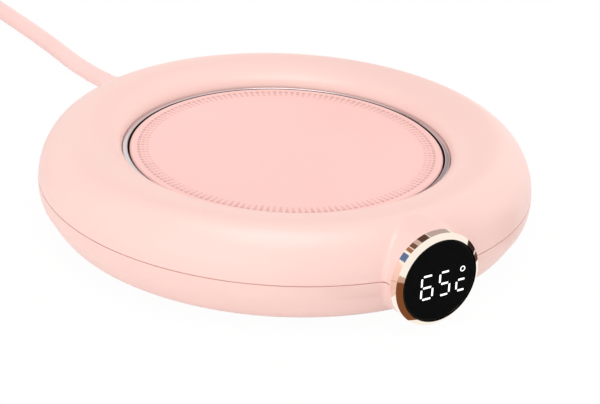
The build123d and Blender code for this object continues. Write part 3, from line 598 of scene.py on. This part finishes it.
def merge_and_smooth(mesh):
    """Joins loose corners and shades smooth, except across real edges."""
    sculpt = bmesh.new()
    sculpt.from_mesh(mesh)
    bmesh.ops.remove_doubles(sculpt, verts=sculpt.verts, dist=merge_distance)
    for face in sculpt.faces:
        face.smooth = True
    for edge in sculpt.edges:
        edge.smooth = edge.is_manifold and edge.calc_face_angle() < crisp_edge
    sculpt.to_mesh(mesh)
    sculpt.free()


# %% Give the visible nodes their skins
skins = {
    "top_shell": "housing_top",
    "bottom_shell": "housing_base",
    "heating_plate": "warming_plate",
    "display_bezel": "display_ring",
    "display_lens": "display_window",
    "strain_relief": "cord_relief",
    "plug_body": "plug",
    "plug_blades": "plug_pins",
}


def stand_for(piece, node):
    """The piece rides where the node does and stands for it; the node is hidden."""
    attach(piece, frame["nodes"][node]["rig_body"])
    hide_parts(node)


def smooth_skin(node, name):
    """A merged and smooth-shaded copy of a CAD node, which then stands for it."""
    mesh = frame["nodes"][node].data.copy()
    merge_and_smooth(mesh)
    mesh.materials.clear()
    mesh.materials.append(materials[slot_of[node]])
    skin = link_mesh(name, mesh)
    stand_for(skin, node)
    return skin


skin_of = {node: smooth_skin(node, name) for node, name in skins.items()}
print("skins:", {skin.name: len(skin.data.polygons) for skin in skin_of.values()})

# %% [markdown]
# The display's window and the plate are broad flats with a small rounded rim. Plain smooth
# shading would bend the flat's reflection towards the rim, so their shading is weighted by
# the size of the faces.

# %% Keep broad faces flat
def keep_faces_flat(piece):
    """Lets large faces set the shading."""
    weighted = piece.modifiers.new("flat faces", "WEIGHTED_NORMAL")
    weighted.keep_sharp = True


for node in ("display_lens", "heating_plate"):
    keep_faces_flat(skin_of[node])
    print(skin_of[node].name, "shades by face size")

# %% [markdown]
# Four coil springs and the heater's leads stand between the base and the plate. They get
# shorter as the plate sinks. Bones could bend each of them, but the plate moves by little
# more than a millimetre; here each only gets a smooth skin with a mesh of its own.

# %% Skins for the springs and leads
press = next(j for j in frame["record"]["behaviour"]["joints"] if j["name"] == "plate_press")
for part in press["deforming_nodes"]:
    node, foot = part["node"], part["fixed_end_z_m"]
    give_way = smooth_skin(node, node + "_flexing")
    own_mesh(give_way)

# %% [markdown]
# ## The rows of fine dashes on the plate
#
# Three rows of short dashes run round the plate near its rim, one inside the other. The
# outer row is the darkest, the inner two are only a breath darker than the plate. They
# could be painted by a material, but then they would be missing from the mesh. A dash is a
# thin tile, repeated evenly round a circle, which is exactly what Geometry Nodes do well: a
# circle of points, one tile on each, turned to face out.

# %% Start and end of a node tree
def new_tree(name, inputs, output):
    """Geometry Nodes tree with these named inputs, and its two end nodes."""
    tree = bpy.data.node_groups.new(name, "GeometryNodeTree")
    for label, kind in inputs:
        tree.interface.new_socket(label, in_out="INPUT", socket_type="NodeSocket" + kind)
    tree.interface.new_socket(output, in_out="OUTPUT", socket_type="NodeSocketGeometry")
    return tree, add_node(tree, "NodeGroupInput"), add_node(tree, "NodeGroupOutput")


def end_tree(tree, given, geometry, result):
    """Makes all copies real, gives them their finish and hands them out."""
    real = add_node(tree, "GeometryNodeRealizeInstances")
    finish = add_node(tree, "GeometryNodeSetMaterial")
    wire(tree, (geometry, real.inputs["Geometry"]),
         (real.outputs["Geometry"], finish.inputs["Geometry"]),
         (given.outputs["Finish"], finish.inputs["Material"]),
         (finish.outputs["Geometry"], result))


# %% Run a node tree
def input_identifiers(tree):
    """The hidden name of each named input, which a modifier is set by."""
    return {item.name: item.identifier for item in tree.interface.items_tree
            if item.in_out == "INPUT"}


def grow(name, tree, values, points=()):
    """Runs a node tree on some points with these inputs, and keeps a plain mesh."""
    mesh = bpy.data.meshes.new(name + "_seed")
    mesh.from_pydata(points, [], [])
    seed = link_mesh(name + "_seed", mesh)
    modifier = seed.modifiers.new("nodes", "NODES")
    modifier.node_group = tree
    identifiers = input_identifiers(tree)
    for label, value in values.items():
        modifier[identifiers[label]] = value
    ready = seed.evaluated_get(bpy.context.evaluated_depsgraph_get())
    piece = link_mesh(name, bpy.data.meshes.new_from_object(ready))
    bpy.data.objects.remove(seed)
    return piece


# %% A node tree that lays tiles round a circle
def ring_of_tiles():
    """Geometry Nodes tree: tiles of one size at even steps round a circle."""
    tree, given, result = new_tree("ring_of_tiles", (
        ("Count", "Int"), ("Radius", "Float"), ("Place", "Vector"), ("Tile Size", "Vector"),
        ("Finish", "Material")), "Tiles")
    circle = add_node(tree, "GeometryNodeMeshCircle")
    place = add_node(tree, "GeometryNodeInputPosition")
    face_out = add_node(tree, "FunctionNodeAlignEulerToVector", axis="X")
    tile = add_node(tree, "GeometryNodeMeshCube")
    copies = add_node(tree, "GeometryNodeInstanceOnPoints")
    raised = add_node(tree, "GeometryNodeTransform")
    wire(tree, (given.outputs["Count"], circle.inputs["Vertices"]),
         (given.outputs["Radius"], circle.inputs["Radius"]),
         (place.outputs["Position"], face_out.inputs["Vector"]),
         (given.outputs["Tile Size"], tile.inputs["Size"]),
         (circle.outputs["Mesh"], copies.inputs["Points"]),
         (tile.outputs["Mesh"], copies.inputs["Instance"]),
         (face_out.outputs["Rotation"], copies.inputs["Rotation"]),
         (copies.outputs["Instances"], raised.inputs["Geometry"]),
         (given.outputs["Place"], raised.inputs["Translation"]))
    end_tree(tree, given, raised.outputs["Geometry"], result.inputs["Tiles"])
    return tree


tiles = ring_of_tiles()
print("tile tree inputs:", sorted(input_identifiers(tiles)))

# %% Lay the three rows
plate_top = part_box("heating_plate")[1].z
dash_count = 150
dash_thickness = 0.00006
dash_rows = {
    # row: distance from the middle, size out and along the rim, colour
    "dashes_outer": (0.03590, (0.00072, 0.00092), screen_colour(218, 168, 163)),
    "dashes_middle": (0.03488, (0.00080, 0.00066), screen_colour(229, 179, 173)),
    "dashes_inner": (0.03386, (0.00076, 0.00056), screen_colour(233, 184, 178)),
}
for name, (radius, (out, along), colour) in dash_rows.items():
    finish = make_finish(name, colour, 0.5, clouds=0.08, cloud_scale=500)
    row = grow(name, tiles, {
        "Count": dash_count, "Radius": radius, "Place": (0, 0, plate_top),
        "Tile Size": (out, along, dash_thickness), "Finish": finish})
    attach(row, "plate")
    print(name, "faces", len(row.data.polygons))

# %% [markdown]
# ## Turned pieces: the trim ring, the feet and the screws
#
# The bright ring that lines the well, the rubber feet and the screws underneath are all
# round. Stock cylinders would need their edges rounded one by one. One outline, carried
# once round an axis, gives each of them, as on a lathe, with its roundings already in it. A
# node tree does the turning, and a second one stands copies of a piece on given points.

# %% A node tree that turns an outline
def turned_shape():
    """Geometry Nodes tree: carries an outline once round a circle."""
    tree, given, result = new_tree("turned_shape", (
        ("Outline", "Object"), ("Radius", "Float"), ("Steps", "Int"), ("Finish", "Material")),
        "Shape")
    outline = add_node(tree, "GeometryNodeObjectInfo")
    circle = add_node(tree, "GeometryNodeCurvePrimitiveCircle")
    swept = add_node(tree, "GeometryNodeCurveToMesh")
    closed = add_node(tree, "GeometryNodeMergeByDistance", {"Distance": merge_distance})
    wire(tree, (given.outputs["Outline"], outline.inputs["Object"]),
         (given.outputs["Radius"], circle.inputs["Radius"]),
         (given.outputs["Steps"], circle.inputs["Resolution"]),
         (circle.outputs["Curve"], swept.inputs["Curve"]),
         (outline.outputs["Geometry"], swept.inputs["Profile Curve"]),
         (swept.outputs["Mesh"], closed.inputs["Geometry"]))
    end_tree(tree, given, closed.outputs["Geometry"], result.inputs["Shape"])
    return tree


lathe = turned_shape()
print("lathe tree inputs:", sorted(input_identifiers(lathe)))


# %% Turn a piece on the lathe
def arc(x, z, radius, start, end, steps=5):
    """Points on a quarter or other part of a circle, between two angles in degrees."""
    angles = [math.radians(start + (end - start) * i / steps) for i in range(steps + 1)]
    return [(x + radius * math.cos(a), z + radius * math.sin(a)) for a in angles]


def face_outwards(mesh):
    """Points every face of a closed mesh outwards."""
    sculpt = bmesh.new()
    sculpt.from_mesh(mesh)
    bmesh.ops.recalc_face_normals(sculpt, faces=sculpt.faces)
    sculpt.to_mesh(mesh)
    sculpt.free()


def turn_piece(name, outline, finish, closed, steps):
    """Turns an outline of (radius, height) points about the Z axis."""
    reach = max(radius for radius, height in outline)
    curve = bpy.data.curves.new(name + "_outline", "CURVE")
    spline = curve.splines.new("POLY")
    spline.points.add(len(outline) - 1)
    for point, (radius, height) in zip(spline.points, outline):
        point.co = (radius - reach, -height, 0, 1)
    spline.use_cyclic_u = closed
    shape = bpy.data.objects.new(name + "_outline", curve)
    scene.collection.objects.link(shape)
    piece = grow(name, lathe, {"Outline": shape, "Radius": reach, "Steps": steps,
                               "Finish": finish})
    bpy.data.objects.remove(shape)
    face_outwards(piece.data)
    merge_and_smooth(piece.data)
    return piece


# %% [markdown]
# The trim ring is a thin pressed band. Its top leans out a little and rolls over into the
# well, which gives the fine bright line along its inner edge. Its inner wall is painted
# black as painted shade, so that the gap round the plate reads as one dark line. The
# paint is a second material on the wall's faces and needs no piece of its own.

# %% Turn the trim ring
trim_low, trim_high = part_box("trim_ring")[0].z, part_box("trim_ring")[1].z
trim_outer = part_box("trim_ring")[1].x
trim_width = 0.00125
trim_roll = 0.00020
trim_edge = 0.00020
trim_lean = 0.00008
trim_meeting = 84
trim_roll_steps = 8
trim_steps = 240
trim_inner = trim_outer - trim_width
# The roll begins at this height; the inner wall below it is painted black as painted shade.
shaded_wall_top = trim_high - trim_roll

trim_outline = [(trim_inner, trim_low), (trim_outer, trim_low)]
trim_outline += arc(trim_outer - trim_edge, trim_high - trim_lean - trim_edge, trim_edge,
                    0, trim_meeting)
trim_outline += arc(trim_inner + trim_roll, shaded_wall_top, trim_roll, trim_meeting, 180,
                    trim_roll_steps)
trim = turn_piece("well_trim", trim_outline, materials["trim_chrome"], True, trim_steps)
# The second material paints the inner wall black: painted shade, so that the gap round the plate
# reads as one dark line.
trim.data.materials.append(materials["black_plastic"])
for face in trim.data.polygons:
    in_painted_gap_shade = face.center.xy.length < trim_inner + trim_edge and face.center.z < shaded_wall_top
    face.material_index = 1 if in_painted_gap_shade else 0
stand_for(trim, "trim_ring")
print("trim ring faces", len(trim.data.polygons))

# %% [markdown]
# The four feet are alike, and so are the screws. Each is turned once and stood on four
# points, so a change to one is a change to all.

# %% A node tree that stands copies on points
def copies_on_points():
    """Geometry Nodes tree: one copy of a piece on every point that it is given."""
    tree, given, result = new_tree("copies_on_points", (
        ("Points", "Geometry"), ("Piece", "Object"), ("Finish", "Material")), "Copies")
    piece = add_node(tree, "GeometryNodeObjectInfo")
    copies = add_node(tree, "GeometryNodeInstanceOnPoints")
    wire(tree, (given.outputs["Points"], copies.inputs["Points"]),
         (given.outputs["Piece"], piece.inputs["Object"]),
         (piece.outputs["Geometry"], copies.inputs["Instance"]))
    end_tree(tree, given, copies.outputs["Instances"], result.inputs["Copies"])
    return tree


stamp = copies_on_points()


def at_angles(angles, radius):
    """Points on a circle at these angles in degrees."""
    return [(radius * math.cos(math.radians(a)), radius * math.sin(math.radians(a)), 0.0)
            for a in angles]


def set_out(name, piece, angles, radius, node):
    """Stands copies of a piece on a circle and drops the piece that they came from."""
    finish = materials[slot_of[node]]
    copies = grow(name, stamp, {"Piece": piece, "Finish": finish}, at_angles(angles, radius))
    bpy.data.objects.remove(piece)
    merge_and_smooth(copies.data)
    stand_for(copies, node)
    print(name, "faces", len(copies.data.polygons))


# %% [markdown]
# A foot is a rubber disc with a rounded rim, hollowed a little underneath so that it grips
# by its rim. It sits in a shallow round recess of the base. Rounding and hollow are both in
# the outline, so nothing has to be cut.

# %% The feet
foot_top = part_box("rubber_feet")[1].z
foot_circle = 0.0450
foot_angles = (45, 135, 225, 315)
foot_radius = 0.00598
foot_round = 0.0006
foot_rim = 0.0014
foot_hollow = 0.0003
foot_steps = 48
foot_outline = [(0, foot_hollow), (foot_radius - foot_rim - foot_hollow, foot_hollow),
                (foot_radius - foot_rim, 0)]
foot_outline += arc(foot_radius - foot_round, foot_round, foot_round, 270, 360)
foot_outline += [(foot_radius, foot_top), (0, foot_top)]
foot = turn_piece("foot", foot_outline, materials["foot_rubber"], False, foot_steps)
set_out("feet", foot, foot_angles, foot_circle, "rubber_feet")

# %% [markdown]
# The case screws have pan heads with a cross recess, driven from below. The head and shank
# are turned, and the recess is cut with two crossed bars before the copies are set out.

# %% Sizes of a case screw
screw_low, screw_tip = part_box("case_screws")[0].z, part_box("case_screws")[1].z
screw_circle = 0.0475
screw_angles = (20, 160, 200, 340)
head_radius, head_height = 0.0027, 0.0018
head_round, head_round_start = 0.0009, 300
dome_share, dome_drop = 0.55, 0.00008
shank_radius = 0.00145
point_length = 0.0012
screw_steps = 40
recess_length, recess_width, recess_depth = 0.0031, 0.00062, 0.0010
print("screw length in mm:", round(1000 * (screw_tip - screw_low), 2))


# %% The case screws
def cut_cross(piece, low):
    """Cuts two crossed bars into the underside of a screw's head."""
    for size in ((recess_length, recess_width), (recess_width, recess_length)):
        sculpt = bmesh.new()
        bmesh.ops.create_cube(sculpt, size=1.0)
        for corner in sculpt.verts:
            corner.co = (corner.co.x * size[0], corner.co.y * size[1],
                         low + corner.co.z * 2 * recess_depth)
        mesh = bpy.data.meshes.new("bar")
        sculpt.to_mesh(mesh)
        sculpt.free()
        bar = link_mesh("bar", mesh)
        cut = piece.modifiers.new("cross", "BOOLEAN")
        cut.object = bar
        cut.solver = "EXACT"
        ready = piece.evaluated_get(bpy.context.evaluated_depsgraph_get())
        piece.data = bpy.data.meshes.new_from_object(ready)
        piece.modifiers.clear()
        bpy.data.objects.remove(bar)


head_top = screw_low + head_height
screw_outline = [(0, screw_low), (head_radius * dome_share, screw_low + dome_drop)]
screw_outline += arc(head_radius - head_round, screw_low + head_round, head_round,
                     head_round_start, 360)
screw_outline += [(head_radius, head_top), (shank_radius, head_top),
                  (shank_radius, screw_tip - point_length), (0, screw_tip)]
screw = turn_piece("screw", screw_outline, materials["zinc_steel"], False, screw_steps)
cut_cross(screw, screw_low)
set_out("base_screws", screw, screw_angles, screw_circle, "case_screws")

# %% [markdown]
# ## The strap round the coil
#
# A soft strap holds the coil together. It is a thin band that goes under the turns, up both
# sides and over the top, with its corners rounded by the turns that push it out. A cloth
# simulation would find the same shape with far more work. Here an outer and an inner
# rounded rectangle on each side, joined by faces, are the whole band.

# %% The strap's outline
strap_width = 0.0078
strap_thickness = 0.00038
strap_near, strap_far = 0.0153, 0.0353
strap_corner = 0.0022
strap_corner_steps = 6


def strap_outline(inset):
    """Rounded rectangle round the turns, drawn in by an inset, as (distance, height) points."""
    low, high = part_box("coil_tie")[0].z + inset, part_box("coil_tie")[1].z - inset
    near, far = strap_near + inset, strap_far - inset
    corner = strap_corner - inset
    corners = ((far - corner, high - corner, 0), (near + corner, high - corner, 90),
               (near + corner, low + corner, 180), (far - corner, low + corner, 270))
    points = []
    for x, z, start in corners:
        points += arc(x, z, corner, start, start + 90, strap_corner_steps)
    return points


print("strap outline points:", len(strap_outline(0)))

# %% Make the strap
strap_edge_round = 0.00012
strap_edge_segments = 2
strap_edge_angle = math.radians(60)


def strap_mesh():
    """The closed band: two rounded rectangles on each side, joined all round."""
    across = Matrix.Rotation(math.radians(tie_angle), 4, "Z")
    sculpt = bmesh.new()
    rows = []
    for side in (-1, 1):
        for outline in (strap_outline(0), strap_outline(strap_thickness)):
            row = [Vector((x, side * strap_width / 2, z)) for x, z in outline]
            rows.append([sculpt.verts.new(coil_centre + across @ at) for at in row])
    left_out, left_in, right_out, right_in = rows
    for first, second in ((left_out, right_out), (right_in, left_in),
                          (left_in, left_out), (right_out, right_in)):
        for i in range(len(first)):
            after = (i + 1) % len(first)
            sculpt.faces.new((first[i], first[after], second[after], second[i]))
    mesh = bpy.data.meshes.new("cord_strap")
    sculpt.to_mesh(mesh)
    sculpt.free()
    return mesh


strap = link_mesh("cord_strap", strap_mesh())
face_outwards(strap.data)
strap.data.materials.append(materials["cord_pink"])
strap.data.shade_smooth()
bevel = strap.modifiers.new("soft edges", "BEVEL")
bevel.width = strap_edge_round
bevel.segments = strap_edge_segments
bevel.limit_method = "ANGLE"
bevel.angle_limit = strap_edge_angle
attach(strap, "housing")
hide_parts("coil_tie")
print("strap vertices", len(strap.data.vertices))

# %% [markdown]
# The cord gets its soft pink finish, the same as the strap's.

cord.data.materials.append(materials["cord_pink"])
print("cord carries", strap.name, "and", skin_of["plug_body"].name)

# %% [markdown]
# ## Floor and light
#
# The floor is plain and almost white. Lamps strong enough to turn it white would bleach the
# pink, so most of what is seen of it is a steady white of its own: it stays even to the
# edges and keeps only a breath of the shadow. Reflections see the same white, as in a light
# tent.

# %% What is seen directly
def seen_directly(tree):
    """1 for camera, glossy and transmission rays, 0 for the light that falls on things."""
    path = add_node(tree, "ShaderNodeLightPath")
    either = add_node(tree, "ShaderNodeMath", operation="MAXIMUM")
    all_three = add_node(tree, "ShaderNodeMath", operation="MAXIMUM")
    wire(tree, (path.outputs["Is Camera Ray"], either.inputs[0]),
         (path.outputs["Is Glossy Ray"], either.inputs[1]),
         (either.outputs["Value"], all_three.inputs[0]),
         (path.outputs["Is Transmission Ray"], all_three.inputs[1]))
    return all_three.outputs["Value"]


# %% The floor
floor_size = 3.0
floor_own_white = 0.965
floor_paint = (0.93, 0.93, 0.93, 1)
floor_roughness = 0.9
plain_white = (1, 1, 1, 1)


def floor_finish():
    """Matt white paint, mixed with a steady white of its own where it is seen directly."""
    material, tree, shader = new_material("floor_white")
    shader.inputs["Base Color"].default_value = floor_paint
    shader.inputs["Roughness"].default_value = floor_roughness
    shader.inputs["Specular IOR Level"].default_value = 0.0
    own = add_node(tree, "ShaderNodeEmission", {"Color": plain_white, "Strength": 1.0})
    share = add_node(tree, "ShaderNodeMath", operation="MULTIPLY")
    share.inputs[1].default_value = floor_own_white
    mix = add_node(tree, "ShaderNodeMixShader")
    wire(tree, (seen_directly(tree), share.inputs[0]),
         (share.outputs["Value"], mix.inputs["Fac"]),
         (shader.outputs["BSDF"], mix.inputs[1]),
         (own.outputs["Emission"], mix.inputs[2]),
         (mix.outputs["Shader"], tree.nodes["Material Output"].inputs["Surface"]))
    return material


half = floor_size / 2
floor_mesh = bpy.data.meshes.new("floor")
floor_mesh.from_pydata([(-half, -half, 0), (half, -half, 0), (half, half, 0), (-half, half, 0)],
                       [], [(0, 1, 2, 3)])
floor_mesh.materials.append(floor_finish())
floor = link_mesh("floor", floor_mesh)
print("floor", floor_size, "m wide")

# %% The sky round the set
sky_strength = 0.70
sky_tint = (1.0, 0.985, 0.97, 1)
world = bpy.data.worlds.new("light_tent")
scene.world = world
world.use_nodes = True
sky = world.node_tree
falling = sky.nodes["Background"]
falling.inputs["Color"].default_value = sky_tint
falling.inputs["Strength"].default_value = sky_strength
shown = add_node(sky, "ShaderNodeBackground", {"Color": plain_white, "Strength": 1.0})
sky_mix = add_node(sky, "ShaderNodeMixShader")
wire(sky, (seen_directly(sky), sky_mix.inputs["Fac"]),
     (falling.outputs["Background"], sky_mix.inputs[1]),
     (shown.outputs["Background"], sky_mix.inputs[2]),
     (sky_mix.outputs["Shader"], sky.nodes["World Output"].inputs["Surface"]))
print("sky lights at", sky_strength, "and shows as 1")

# %% [markdown]
# The sky alone would leave the ring flat. Five soft boxes shape it: a large one overhead
# gives the broad pale band along the front of the ring, two at the left and one at the
# right open its flanks, and one behind the right shoulder draws the far edge. Only the
# overhead one shows in polished metal.

# %% The soft boxes
def soft_box(name, place, size, watts, mirrored):
    """Round area lamp aimed at the object, mirrored by glossy surfaces or not."""
    lamp = bpy.data.lights.new(name, "AREA")
    lamp.shape = "DISK"
    lamp.size = size
    lamp.energy = watts
    box = bpy.data.objects.new(name, lamp)
    box.location = place
    box.rotation_euler = (-Vector(place)).to_track_quat("-Z", "Y").to_euler()
    box.visible_glossy = mirrored
    scene.collection.objects.link(box)


soft_boxes = {
    # name: place, size, watts, mirrored
    "overhead": ((-0.10, -0.15, 0.75), 0.55, 1.9, True),
    "left": ((-0.77, -0.12, 0.16), 0.50, 0.9, False),
    "left_front": ((-0.60, -0.50, 0.20), 0.50, 0.8, False),
    "right": ((0.78, -0.02, 0.17), 0.50, 1.2, False),
    "right_back": ((0.60, 0.50, 0.25), 0.50, 0.8, False),
}
for name, (place, size, watts, mirrored) in soft_boxes.items():
    soft_box(name, place, size, watts, mirrored)

# %% [markdown]
# Polished metal shows whatever stands round it, and in a bare white tent it would look
# like paint. Stripes painted on the ring would stay put when it is seen from elsewhere. So
# a few plain cards stand where the display's ring mirrors them. Only reflections see the
# cards: they throw no light or shadow on anything.

# %% A card that only mirrors see
def show_to_mirrors(name, corners, colour):
    """A flat card with its own colour, seen by reflections alone."""
    mesh = bpy.data.meshes.new(name)
    mesh.from_pydata(corners, [], [tuple(range(len(corners)))])
    material, tree, shader = new_material(name)
    glow = add_node(tree, "ShaderNodeEmission", {"Color": colour, "Strength": 1.0})
    wire(tree, (glow.outputs["Emission"], tree.nodes["Material Output"].inputs["Surface"]))
    tree.nodes.remove(shader)
    mesh.materials.append(material)
    card = link_mesh(name, mesh)
    for others in ("camera", "diffuse", "transmission", "volume_scatter", "shadow"):
        setattr(card, "visible_" + others, False)


# %% [markdown]
# The side of the display's ring is a drum, and every ray that it throws back leaves at one
# angle to the drum's axis. Behind the object those rays draw a circle, so the cards that
# stripe the drum are pieces of a wide flat hoop. The strips on the floor are for the
# ring's bevel and for the black window.

# %% The hoop of cards behind
display_front, display_height = -0.063, 0.0126
hoop_distance = 0.45
hoop_near, hoop_far = 0.29, 0.56
hoop_steps = 6
hoop_middle = Vector((0, display_front + hoop_distance, display_height))


def hoop_piece(name, start, end, colour):
    """Part of the hoop between two angles, counted from +X up towards +Z."""
    angles = [math.radians(start + (end - start) * i / hoop_steps) for i in range(hoop_steps + 1)]
    rim = [(hoop_far, a) for a in angles] + [(hoop_near, a) for a in reversed(angles)]
    corners = [hoop_middle + Vector((r * math.cos(a), 0, r * math.sin(a))) for r, a in rim]
    show_to_mirrors(name, corners, colour)


hoop = {
    # card: where it starts and ends in degrees, colour
    "card_blue": (133, 152, screen_colour(98, 122, 172)),
    "card_copper": (117, 127, screen_colour(168, 116, 88)),
    "card_brown": (103, 115, screen_colour(120, 84, 70)),
    "card_dust": (91, 103, screen_colour(206, 184, 178)),
    "card_dark": (68, 91, screen_colour(92, 66, 58)),
    "card_mauve": (10, 66, screen_colour(188, 172, 172)),
}
for name, (start, end, colour) in hoop.items():
    hoop_piece(name, start, end, colour)
print("cards in the hoop:", len(hoop))

# %% The cards in front and beside
card_lift = 0.0004
low_cards = {
    # card: its corners on the floor, colour
    "card_floor_brown": (((-0.0040, -0.0650), (-0.0400, -0.1100), (-0.0600, -0.0940),
                          (-0.0200, -0.0600)), screen_colour(126, 78, 48)),
    "card_floor_rose": (((-0.0400, -0.1100), (-0.1700, -0.2660), (-0.2100, -0.2180),
                         (-0.0600, -0.0940)), screen_colour(204, 168, 152)),
    "card_floor_black": (((-0.0060, -0.0665), (0.0200, -0.0665), (0.1350, -0.2200),
                          (0.0360, -0.2200)), screen_colour(24, 24, 24)),
    "card_floor_side": (((0.0460, -0.0600), (0.0740, -0.0560), (0.0740, -0.0430),
                         (0.0460, -0.0500)), screen_colour(96, 66, 58)),
}
for name, (corners, colour) in low_cards.items():
    show_to_mirrors(name, [(x, y, card_lift) for x, y in corners], colour)

side_card_away = 0.085
side_card_front, side_card_back = -0.076, -0.050
side_card_top = 0.022
side_corners = ((side_card_front, 0), (side_card_back, 0), (side_card_back, side_card_top),
                (side_card_front, side_card_top))
show_to_mirrors("card_side", [(side_card_away, y, z) for y, z in side_corners],
                screen_colour(52, 38, 34))
print("cards:", len(hoop) + len(low_cards) + 1)
